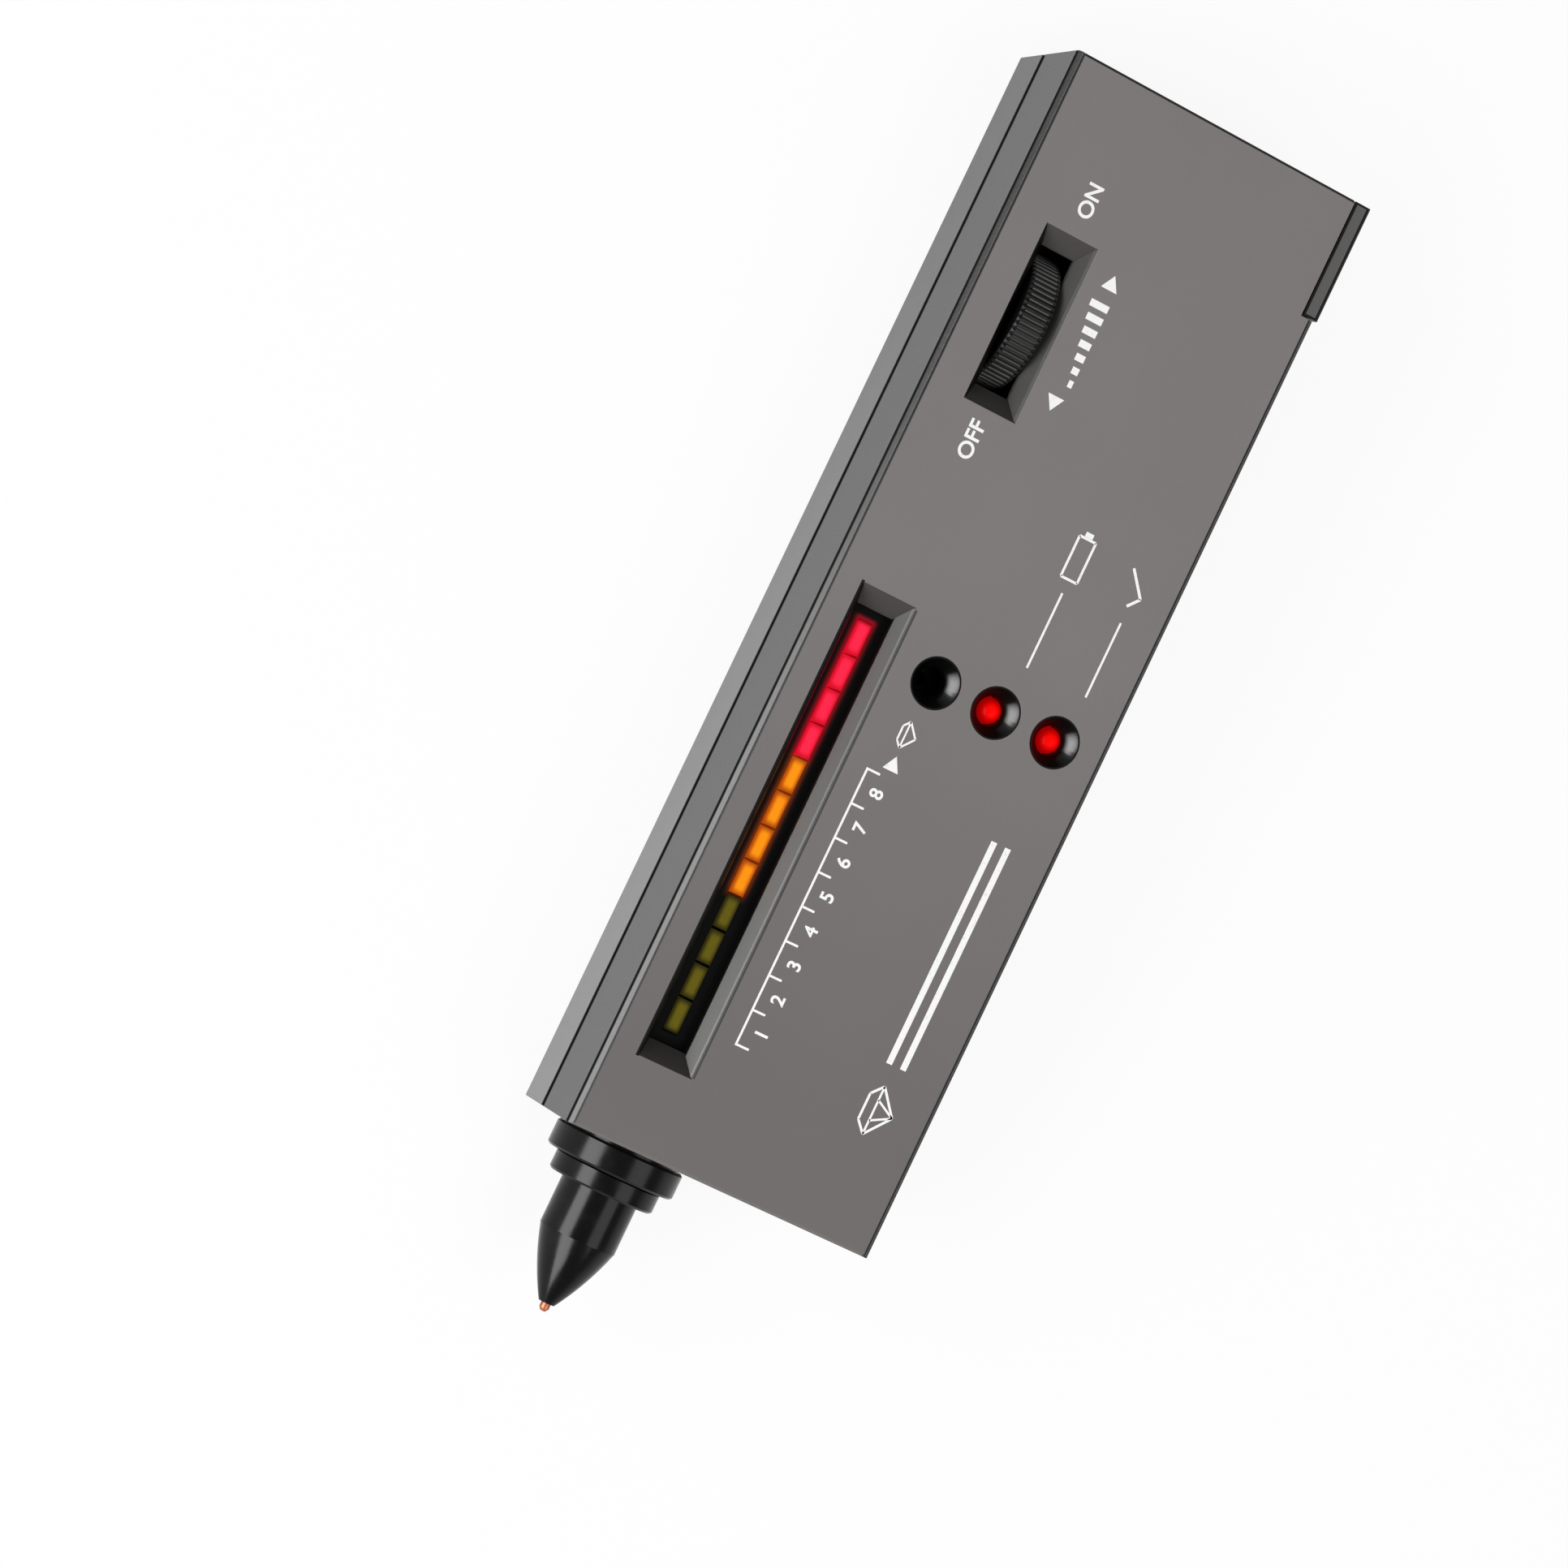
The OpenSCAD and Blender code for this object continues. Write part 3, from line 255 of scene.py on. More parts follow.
# Front shell, with painted shade in its grooves, its seam and along its edges, and painted light and shade
# on the bevels round the two openings
shellLook = {
    "dark": (116, 112, 111), "light": (124, 120, 119), "rough": 0.58,
    "noseShade": (60, 58, 57), "noseFade": (95, 5), "noseShare": 0.31,  # painted shade, darker towards the nose
    # painted shade on the long sides, and a painted shade line along the top end and right edges
    "sideShade": (98, 98, 98), "sideSkin": 0.05, "endTone": (14, 14, 14), "endShadeLine": 0.4,
    "window": (-18.95, -10.35, 11.8, 81.6), "slot": (-17.4, -9.0, 109.2, 135.2), "split": 95,
    # painted light and shade on the bevels: a tone for each way a bevel faces, lighter on the right one,
    # black on the left one, with a dark line along their outer edges
    "bevelShades": {
        "top": (69, 67, 66), "low": (49, 47, 46), "left": (5, 5, 5), "line": (66, 65, 64),
        "rightLow": (118, 118, 116), "rightHigh": (104, 105, 104), "slotRight": (74, 73, 72),
    },
    "bevelFade": (15, 75), "bevelTurn": 0.25, "bevelFrom": (0.01, 0.1), "bevelFoot": 2.5,
    "bevelRough": 0.45, "bevelSmooth": 0.7, "rim": {"window": 0.24, "slot": 0.42},
    "leftLip": (0.22, 0.25), "rightLip": 0.18, "lipTrim": (0.3, 0.5),
    "chamfer": 0.75, "hair": 0.01,
    # painted highlight near the nose on the bead, fading to painted shade towards the top end
    "beadHighlightToShade": ((111, 111, 111), (26, 26, 26)), "beadFade": (45, 120), "beadFoot": 0.64, "beadRough": 0.3,
    "edgeTone": (94, 94, 94), "edgeGroove": 0.42, "edgeDepth": (0.005, 0.4),
    # painted shade in the trim groove and the seam
    "trimGroove": 0.7, "trimDepth": 0.6, "seam": (9.1, 10.35), "grooveTone": (7, 7, 7), "grooveRough": 0.3,
}


# Painted light and shade on the bevels, toned by the way each faces and by where it lies along the case
def bevelColour(bench, look, x, y, z):
    tones = {side: tint(*tone) for side, tone in look["bevelShades"].items()}
    right = bench.mix(fadeAlong(y, look["bevelFade"]), tones["rightLow"], tones["rightHigh"])
    right = bench.mix(y > endY + look["split"] * mm, right, tones["slotRight"])
    for opening, run in look["rim"].items():
        rim = inside(x, y, (look[opening][1] - run,) + look[opening][1:])
        right = bench.mix(rim, right, tones["line"])
    foot = (z < faceZ - look["bevelFoot"] * mm) * (y < endY + look["split"] * mm)
    right = bench.mix(foot, right, tones["left"])  # painted shade on the wall under the window's bevel
    turnedX, turnedY = bench.facing()[:2]
    colour = bench.mix(turnedY > look["bevelTurn"], tones["top"], tones["low"])
    colour = bench.mix(turnedX > look["bevelTurn"], colour, tones["left"])
    return bench.mix(turnedX < -look["bevelTurn"], colour, right)


def frontShellFinish(look):
    material, bench = newFinish("frontShellGrey")
    spot = bench.place()
    x, y, z = bench.axes(spot)
    colour, grain = mouldColour(bench, spot, look)
    # painted shade: the face darkens towards the nose end
    colour = bench.mix(fadeAlong(y, look["noseFade"]) * look["noseShare"], colour, tint(*look["noseShade"]))
    outward = abs(x) - caseHigh.x  # 0 at the long sides
    # painted shade: the long sides of the shell are painted darker than its face
    colour = bench.mix(outward > -look["sideSkin"] * mm, colour, tint(*look["sideShade"]))
    # painted shade: a dark line along the face's top end edge, on its end chamfer
    shadedTopEdge = (y > caseHigh.y - look["endShadeLine"] * mm) * (z > faceZ - look["endShadeLine"] * mm)
    colour = bench.mix(shadedTopEdge, colour, tint(*look["endTone"]))

    # Painted shade on the rounded edges of the window, and painted light and shade on the bevels of both
    # openings
    left, right, low, high = look["window"]
    # painted shade: a black strip on the face beside the window's left edge
    lip = inside(x, y, (left - look["leftLip"][0], left + look["leftLip"][1], low, high))
    colour = bench.mix(lip, colour, tint(*look["bevelShades"]["left"]))
    lipEnds = (low + look["lipTrim"][0], high - look["lipTrim"][1])
    # painted shade: a dark line along the window's right edge
    lip = inside(x, y, (right - look["rim"]["window"], right + look["rightLip"]) + lipEnds)
    colour = bench.mix(lip, colour, tint(*look["bevelShades"]["line"]))
    below = z.ramp(*[faceZ - depth * mm for depth in look["bevelFrom"]])
    recess = (inside(x, y, look["window"]) + inside(x, y, look["slot"])) * below
    colour = bench.mix(recess, colour, bevelColour(bench, look, x, y, z))

    # Bead along the chamfer, between its edge groove and its trim groove, with a painted highlight near the
    # nose fading to painted shade at the top end, and painted shade on the right side
    bead = (outward > -look["chamfer"] * mm) * layer(z, look["hair"], look["chamfer"] + look["hair"])
    beadLightAndShade = bench.mix(fadeAlong(y, look["beadFade"]), *[tint(*tone) for tone in look["beadHighlightToShade"]])
    # painted shade on the chamfer along the right side
    beadLightAndShade = bench.mix(x > 0.0, beadLightAndShade, tint(*look["endTone"]))
    colour = bench.mix(bead, colour, beadLightAndShade)
    # the edge groove takes half of the bead's painted highlight and shade
    edge = abs(outward + look["chamfer"] * mm) < (look["edgeGroove"] / 2 + look["hair"]) * mm
    edgeColour = bench.mix(0.5, beadLightAndShade, tint(*look["edgeTone"]))
    colour = bench.mix(edge * layer(z, *look["edgeDepth"]), colour, edgeColour)
    # painted shade in the trim groove and in the seam's shadow gap, reaching onto the shell beside the seam
    trim = layer(z, look["beadFoot"], look["chamfer"] + look["trimGroove"] + look["hair"])
    trim = trim * (outward > -look["trimDepth"] * mm)
    groove = trim.either(z < look["seam"][1] * mm)
    colour = bench.mix(groove, colour, tint(*look["grooveTone"]))

    rough = look["rough"] - recess * (look["rough"] - look["bevelRough"])
    rough = rough - bead * (look["rough"] - look["beadRough"]) + groove * look["grooveRough"]
    mouldSurface(bench, colour, rough, grain, grain * (1 - recess * look["bevelSmooth"]))
    return material


# Rear shell, in a lighter grey than the front shell's sides as painted light, with painted shade towards
# the top end and along the seam
rearLook = {
    "dark": (127, 127, 127), "light": (137, 137, 137), "rough": 0.52,
    "topShade": (70, 70, 70), "topFade": (20, 160), "topShare": 0.48,
}


def rearShellFinish(look):
    material, bench = newFinish("rearShellGrey")
    spot = bench.place()
    y, z = bench.axes(spot)[1:]
    colour, grain = mouldColour(bench, spot, look)
    # painted shade, darker towards the top end
    colour = bench.mix(fadeAlong(y, look["topFade"]) * look["topShare"], colour, tint(*look["topShade"]))
    # painted shade along the seam
    colour = bench.mix(z > shellLook["seam"][0] * mm, colour, tint(*shellLook["grooveTone"]))
    mouldSurface(bench, colour, look["rough"], grain, grain)
    return material


# Battery cover, with a painted shade line round the top of its tab
coverLook = {
    "dark": (85, 84, 83), "light": (93, 92, 91), "rough": 0.52, "line": (10, 10, 10), "shadeLineDepth": 0.4,
    "endShadeLine": 0.34, "leftShadeLine": 0.34, "rightShadeLine": 0.62, "tabWidth": 2.45, "tabLength": 17.0,
}


def coverFinish(look):
    material, bench = newFinish("coverGrey")
    spot = bench.place()
    x, y, z = bench.axes(spot)
    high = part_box("battery_cover")[1]
    colour, grain = mouldColour(bench, spot, look)
    left = high.x - (look["tabWidth"] - look["leftShadeLine"]) * mm
    right = high.x - look["rightShadeLine"] * mm
    sides = abs(x - (left + right) / 2) > (right - left) / 2
    ends = abs(y - (high.y - look["tabLength"] * mm / 2)) > (look["tabLength"] / 2 - look["endShadeLine"]) * mm
    # painted shade: a dark line in the gaps and on the edges round the tab's top
    rim = sides.either(ends) * (z > high.z - look["shadeLineDepth"] * mm)
    colour = bench.mix(rim, colour, tint(*look["line"]))
    mouldSurface(bench, colour, look["rough"], grain, grain)
    return material


paint("front_shell", frontShellFinish(shellLook))
paint("rear_shell", rearShellFinish(rearLook))
paint("battery_cover", coverFinish(coverLook))
print("case: painted")


# Nose: satin black turned steps
noseLook = {
    "black": (6, 6, 7), "worn": (16, 16, 17), "smear": 420.0, "wear": (0.45, 0.8), "rough": 0.2,
    "roughSpread": 0.12, "gloss": 0.19, "turning": 9000.0, "ringStretch": (0.02, 1.0, 0.02),
    "ringDepth": 0.003, "ringBump": 0.4,
}


def noseFinish(look):
    material, bench = newFinish("noseBlack")
    spot = bench.place()
    smear = bench.noise(spot, look["smear"], 4.0, 0.6)
    rings = bench.noise(bench.scaled(spot, look["ringStretch"]), look["turning"])
    bench.surface({
        "Base Color": bench.mix(smear.ramp(*look["wear"]), tint(*look["black"]), tint(*look["worn"])),
        "Roughness": look["rough"] + (smear - 0.5) * look["roughSpread"],
        "Specular IOR Level": look["gloss"],
        "Normal": bench.bump(rings, look["ringDepth"] * mm, look["ringBump"]),
    })
    return material


nose = noseFinish(noseLook)
for node in ("nose_flange", "clamp_collar", "nose_cone"):
    paint(node, nose)


# Metal pieces, with dull smears
metalLook = {"smear": 900.0, "wear": (0.35, 0.75), "roughSpread": 0.25, "depth": 0.004, "bump": 0.5}
metals = {
    "probe_tip": {"clean": (182, 116, 88), "dull": (132, 78, 56), "rough": 0.4},
    "case_screws": {"clean": (190, 190, 188), "dull": (130, 130, 128), "rough": 0.32},
    "board_screws": {"clean": (190, 190, 188), "dull": (130, 130, 128), "rough": 0.32},
    "wheel_screw": {"clean": (190, 190, 188), "dull": (130, 130, 128), "rough": 0.3},
    "pot_shaft": {"clean": (214, 214, 210), "dull": (164, 164, 160), "rough": 0.3},
    "return_spring": {"clean": (200, 200, 200), "dull": (150, 150, 150), "rough": 0.25},
    "plug_ring": {"clean": (212, 182, 116), "dull": (156, 126, 72), "rough": 0.32},
    "battery_terminals": {"clean": (206, 206, 200), "dull": (150, 150, 146), "rough": 0.25},
}


def metalFinish(name, look):
    material, bench = newFinish(name)
    smear = bench.noise(bench.place(), metalLook["smear"], 4.0, 0.6)
    worn = smear.ramp(*metalLook["wear"])
    bench.surface({
        "Base Color": bench.mix(worn, tint(*look["clean"]), tint(*look["dull"])), "Metallic": 1.0,
        "Roughness": look["rough"] + (smear - 0.5) * metalLook["roughSpread"],
        "Normal": bench.bump(smear, metalLook["depth"] * mm, metalLook["bump"]),
    })
    return material


for node, look in metals.items():
    paint(node, metalFinish(node + "Metal", look))
print("nose and metal pieces: painted")


# Bar lamps: twelve in a row, of which the amber and red ones are lit, and the unlit green ones have a
# painted glow
barLooks = {
    # painted glow: the unlit green lamps emit their own dim colour
    "bar_lamps_green": {"core": (102, 92, 20), "edge": (38, 35, 8), "fade": 0.05, "glow": 0.92},
    "bar_lamps_amber": {"core": (255, 148, 16), "edge": (172, 68, 4), "fade": 0.0, "glow": 1.0},
    "bar_lamps_red": {"core": (255, 38, 74), "edge": (206, 8, 34), "fade": 0.0, "glow": 1.08},
}
lampRow = {
    "start": 16.2, "pitch": 5.08, "count": 12, "x": -14.65, "width": 2.0,
    "coreLength": (0.98, 0.5), "coreWidth": (1.15, 0.3), "dimSpan": (0.4, 4.0), "haze": 1500.0,
    "endFade": 0.15, "endShade": 0.3, "shade": 0.93, "rough": 0.4, "gloss": 0.04,
}


def alongRow(y):  # counts lamps from the nose end
    return (y - (endY + lampRow["start"] * mm)) / (lampRow["pitch"] * mm)


def barFinish(name, look):
    material, bench = newFinish(name)
    spot = bench.place()
    x, y = bench.axes(spot)[:2]
    row = alongRow(y)
    fromMiddle = abs(row.fract() - 0.5) * 2
    across = abs(x - lampRow["x"] * mm) / (lampRow["width"] * mm / 2)
    haze = bench.noise(spot, lampRow["haze"])
    core = fromMiddle.ramp(*lampRow["coreLength"]) * across.ramp(*lampRow["coreWidth"])
    core = core * (0.85 + haze * 0.3) * (1 - row.ramp(*lampRow["dimSpan"]) * look["fade"])
    colour = bench.mix(core, tint(*look["edge"]), tint(*look["core"]))
    endTone = tint(*[level * lampRow["endShade"] for level in look["edge"]])
    inRow = row.ramp(0.0, lampRow["endFade"]) * (lampRow["count"] - row).ramp(0.0, lampRow["endFade"])
    colour = bench.mix(inRow, endTone, colour)  # the row fades out at its ends
    bench.surface({
        "Base Color": bench.mix(lampRow["shade"], colour, black),
        "Roughness": lampRow["rough"] + haze * 0.2, "Specular IOR Level": lampRow["gloss"],
        "Emission Color": colour, "Emission Strength": look["glow"],
    })
    return material


for node, look in barLooks.items():
    paint(node, barFinish(node + "Lens", look))


# Fine grain of the small mouldings
grainLook = {"scale": 2400.0, "depth": 0.01, "bump": 0.3}


def fineGrain(bench, spot):
    grain = bench.noise(spot, grainLook["scale"])
    return grain, bench.bump(grain, grainLook["depth"] * mm, grainLook["bump"])


# Holder under the lamps, with a painted glow of the lit ones beside them
holderLook = {
    "dark": (9, 9, 9), "light": (16, 16, 16), "rough": 0.55, "gloss": 0.05,
    "amber": (112, 44, 4), "red": (146, 7, 24), "litFrom": (3.8, 4.3), "redFrom": (7.8, 8.2),
    "reach": 1.25, "endReach": 0.7, "falloff": 2.0,
}


def holderFinish(look):
    material, bench = newFinish("holderPaintedGlow")
    spot = bench.place()
    x, y = bench.axes(spot)[:2]
    grain, relief = fineGrain(bench, spot)
    row = alongRow(y)
    beside = (abs(x - lampRow["x"] * mm) - lampRow["width"] * mm / 2) / (look["reach"] * mm)
    beyond = (row - lampRow["count"]) * (lampRow["pitch"] / look["reach"])
    near = beside.ramp(1.0, 0.0) * beyond.ramp(look["endReach"], 0.0)
    # painted glow: the holder emits amber and red light beside the lit lamps
    lit = near ** look["falloff"] * row.ramp(*look["litFrom"])
    glow = bench.mix(row.ramp(*look["redFrom"]), tint(*look["amber"]), tint(*look["red"]))
    bench.surface({
        "Base Color": bench.mix(grain, tint(*look["dark"]), tint(*look["light"])),
        "Roughness": look["rough"] + grain * 0.1, "Specular IOR Level": look["gloss"], "Normal": relief,
        "Emission Color": bench.mix(lit, black, glow), "Emission Strength": 1.0,
    })
    return material


paint("bar_holder", holderFinish(holderLook))


# Signal lamps: two lit domes
domeLook = {
    "core": (255, 6, 4), "rim": (150, 0, 2), "reach": 1.8, "coreShare": 0.2, "haze": 1200.0,
    "shade": 0.9, "rough": 0.25, "gloss": 0.03,
}


def domeFinish(node, look):
    material, bench = newFinish(node + "Lens")
    spot = bench.place()
    low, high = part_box(node)
    centre = (low + high) / 2
    x, y = bench.axes(spot)[:2]
    away = ((x - centre.x) ** 2.0 + (y - centre.y) ** 2.0) ** 0.5
    haze = bench.noise(spot, look["haze"])
    core = (away / (look["reach"] * mm)).ramp(1.0, look["coreShare"]) * (0.9 + haze * 0.2)
    colour = bench.mix(core, tint(*look["rim"]), tint(*look["core"]))
    bench.surface({
        "Base Color": bench.mix(look["shade"], colour, black), "Roughness": look["rough"] + haze * 0.1,
        "Specular IOR Level": look["gloss"], "Emission Color": colour, "Emission Strength": 1.0,
    })
    return material


for node in ("battery_lamp", "ready_lamp"):
    paint(node, domeFinish(node, domeLook))
print("lamps: lit")


# Wheel: black ribbed plastic, with painted shade in the grooves between the ribs and a painted highlight on
# their flanks
wheelLook = {
    "groove": (9, 9, 9), "top": (38, 38, 37), "flankGlint": (104, 104, 102), "flankGlintShare": 3.6, "rim": 0.6,
    "rough": 0.42, "roughSpread": 0.2, "gloss": 0.16, "grain": 2200.0, "grainDepth": 0.02, "grainBump": 0.4,
    "axleY": 122.2, "axleZ": 13.2, "radius": 9.8, "ribDepth": 0.35,
}


def wheelFinish(look):
    material, bench = newFinish("wheelBlack")
    spot = bench.place()
    x, y, z = bench.axes(spot)
    out = ((y - (endY + look["axleY"] * mm)) ** 2.0 + (z - look["axleZ"] * mm) ** 2.0) ** 0.5
    grain = bench.noise(spot, look["grain"], 3.0)
    crest = out.ramp((look["radius"] - look["ribDepth"]) * mm, look["radius"] * mm)
    # painted shade: the grooves between the ribs are darker than their tops
    colour = bench.mix(crest * (0.55 + grain * 0.6), tint(*look["groove"]), tint(*look["top"]))
    low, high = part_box("volume_wheel")
    ribbed = abs(x - (low.x + high.x) / 2) < (high.x - low.x) / 2 - look["rim"] * mm
    # painted highlight on the flanks of the ribs
    flankGlint = crest * (1 - crest) * ribbed * look["flankGlintShare"]
    bench.surface({
        "Base Color": bench.mix(flankGlint, colour, tint(*look["flankGlint"])), "Specular IOR Level": look["gloss"],
        "Roughness": look["rough"] + (grain - 0.5) * look["roughSpread"],
        "Normal": bench.bump(grain, look["grainDepth"] * mm, look["grainBump"]),
    })
    return material


paint("volume_wheel", wheelFinish(wheelLook))


# Smaller plastic pieces, most of them inside the case
plasticLook = {"cloud": 300.0, "roughSpread": 0.12, "gloss": 0.5}
plastics = {
    "lamp_spacers": {"dark": (16, 16, 17), "light": (27, 27, 28), "rough": 0.5},
    "buzzer": {"dark": (9, 9, 9), "light": (14, 14, 14), "rough": 0.5, "gloss": 0.1},
    "pot_body": {"dark": (44, 44, 47), "light": (58, 58, 61), "rough": 0.5},
    "spring_plug": {"dark": (208, 206, 196), "light": (224, 222, 212), "rough": 0.5},
    "probe_leads": {"dark": (216, 216, 210), "light": (230, 230, 226), "rough": 0.45},
    "heater_bead": {"dark": (206, 200, 188), "light": (230, 226, 216), "rough": 0.6},
    "battery_jacket": {"dark": (44, 52, 66), "light": (56, 66, 82), "rough": 0.3},
    "battery_cells": {"dark": (40, 40, 40), "light": (58, 58, 58), "rough": 0.6},
    "battery_snap": {"dark": (18, 18, 18), "light": (34, 34, 34), "rough": 0.5},
    "red_lead": {"dark": (150, 16, 16), "light": (180, 28, 26), "rough": 0.45},
    "black_lead": {"dark": (14, 14, 14), "light": (28, 28, 28), "rough": 0.45},
    "trimmer": {"dark": (22, 62, 130), "light": (34, 82, 160), "rough": 0.4},
    "heater_transistor": {"dark": (20, 20, 21), "light": (36, 36, 37), "rough": 0.5},
}


def plasticFinish(name, look):
    material, bench = newFinish(name)
    spot = bench.place()
    cloud = bench.noise(spot, plasticLook["cloud"], 3.0)
    grain, relief = fineGrain(bench, spot)
    bench.surface({
        "Base Color": bench.mix(cloud, tint(*look["dark"]), tint(*look["light"])),
        "Roughness": look["rough"] + (grain - 0.5) * plasticLook["roughSpread"],
        "Specular IOR Level": look.get("gloss", plasticLook["gloss"]), "Normal": relief,
    })
    return material


for node, look in plastics.items():
    paint(node, plasticFinish(node + "Plastic", look))


# Bezels: matt black funnels with a polished lip that curves outwards
bezelLook = {
    "dark": (3, 3, 3), "light": (7, 7, 7), "rough": 0.35, "gloss": 0.08, "lipRough": 0.22, "lipGloss": 0.42,
    "depth": 2.0, "tilt": (0.29, 0.4), "lipTurn": (0.45, 0.8), "lipRise": (0.0, 0.45),
}


def bezelFinish(look):
    material, bench = newFinish("bezelBlack")
    spot = bench.place()
    z = bench.axes(spot)[2]
    turnedX = bench.facing()[0]
    grain, relief = fineGrain(bench, spot)
    colour = bench.mix(grain, tint(*look["dark"]), tint(*look["light"]))
    up = (z - (faceZ - look["depth"] * mm)) / (look["depth"] * mm)
    polished = (0 - turnedX).ramp(*look["lipTurn"]) * up.ramp(*look["lipRise"])
    roundness = 0 - up * (look["tilt"][0] + up * look["tilt"][1])
    matt = bench.shader({
        "Base Color": colour, "Roughness": look["rough"] + (grain - 0.5) * 0.1,
        "Specular IOR Level": look["gloss"], "Normal": relief,
    })
    glossy = bench.shader({
        "Base Color": colour, "Roughness": look["lipRough"] + (grain - 0.5) * 0.05,
        "Specular IOR Level": look["lipGloss"], "Normal": bench.bump(roundness, mm),
    })
    bench.node("ShaderNodeOutputMaterial", sockets={"Surface": bench.blend(polished, matt, glossy)})
    return material


paint("lamp_bezels", bezelFinish(bezelLook))
print("small pieces: painted")


# Board: green mask over tracks that run a while and stop
boardLook = {
    "dark": (18, 78, 44), "light": (26, 92, 54), "cloud": 300.0, "rough": 0.35,
    "track": (52, 128, 78), "grid": 2.54, "trackShare": 0.13, "run": 60.0, "step": 400.0, "stop": 0.52,
    "trackDepth": 0.03, "trackBump": 0.4,
}


def boardFinish(look):
    material, bench = newFinish("boardGreen")
    spot = bench.place()
    x, y = bench.axes(spot)[:2]
    cloud = bench.noise(spot, look["cloud"], 3.0)
    lanes = []
    for place, sizes in ((x, (look["step"], look["run"], 0.0)), (y, (look["run"], look["step"], 0.0))):
        lane = abs((place / (look["grid"] * mm)).fract() - 0.5) < look["trackShare"]
        lanes.append(lane * (bench.noise(bench.scaled(spot, sizes), 1.0) > look["stop"]))
    track = lanes[0].either(lanes[1])
    mask = bench.mix(cloud, tint(*look["dark"]), tint(*look["light"]))
    bench.surface({
        "Base Color": bench.mix(track, mask, tint(*look["track"])),
        "Roughness": look["rough"] + cloud * 0.1,
        "Normal": bench.bump(track, look["trackDepth"] * mm, look["trackBump"]),
    })
    return material


paint("main_board", boardFinish(boardLook))


# Parts on the board, with tinned legs
legLook = {"tin": (206, 206, 202), "rough": 0.32, "bodyRough": 0.48, "roughSpread": 0.12}
chipLook = {"dark": (20, 20, 21), "light": (34, 34, 35), "cloud": 600.0, "bodyHalf": 3.21}
capacitorLook = {
    "dark": (20, 32, 84), "light": (28, 44, 104), "cloud": 400.0,
    "stripe": (176, 182, 196), "stripeFrom": 2.3, "canTop": 0.05,
}
resistorLook = {
    "dark": (190, 156, 112), "light": (206, 176, 132), "cloud": 700.0, "bodyHalf": 2.21,
    "columns": (-5.01, 4.475, 14.71), "bandHalf": 0.2,
    "bands": {-1.4: (120, 62, 22), -0.5: (20, 20, 20), 0.4: (196, 96, 20), 1.5: (186, 150, 60)},
}


def bodyColour(bench, spot, look):
    return bench.mix(bench.noise(spot, look["cloud"], 3.0), tint(*look["dark"]), tint(*look["light"]))


def legSurface(bench, spot, colour, legs):
    grain, relief = fineGrain(bench, spot)
    rough = legLook["bodyRough"] - legs * (legLook["bodyRough"] - legLook["rough"])
    bench.surface({
        "Base Color": bench.mix(legs, colour, tint(*legLook["tin"])), "Metallic": legs,
        "Roughness": rough + (grain - 0.5) * legLook["roughSpread"], "Normal": relief,
    })


def chipFinish(node, look):
    material, bench = newFinish(node + "Resin")
    spot = bench.place()
    x = bench.axes(spot)[0]
    low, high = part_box(node)
    legs = abs(x - (low.x + high.x) / 2) > look["bodyHalf"] * mm
    legSurface(bench, spot, bodyColour(bench, spot, look), legs)
    return material


def capacitorFinish(look):
    material, bench = newFinish("capacitorSleeve")
    spot = bench.place()
    x, z = bench.axes(spot)[::2]
    low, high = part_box("capacitors")
    stripe = x > (low.x + high.x) / 2 + look["stripeFrom"] * mm
    colour = bench.mix(stripe, bodyColour(bench, spot, look), tint(*look["stripe"]))
    legSurface(bench, spot, colour, z > high.z - look["canTop"] * mm)  # bare can on top
    return material


def resistorFinish(look):
    material, bench = newFinish("resistorCoat")
    spot = bench.place()
    x = bench.axes(spot)[0]
    colour = bodyColour(bench, spot, look)
    body = 0.0
    for column in look["columns"]:
        body = (abs(x - column * mm) < look["bodyHalf"] * mm) + body
        for offset, tone in look["bands"].items():
            band = abs(x - (column + offset) * mm) < look["bandHalf"] * mm
            colour = bench.mix(band, colour, tint(*tone))
    legSurface(bench, spot, colour, 1 - body)
    return material


for node in ("driver_chip", "amplifier_chips"):
    paint(node, chipFinish(node, chipLook))
paint("capacitors", capacitorFinish(capacitorLook))
paint("resistors", resistorFinish(resistorLook))
print("board: painted")


# Return spring: a coil wound like the solid, which it replaces on the case
coilLook = {"turns": 5, "wire": 0.22, "rings": 24, "sides": 10}


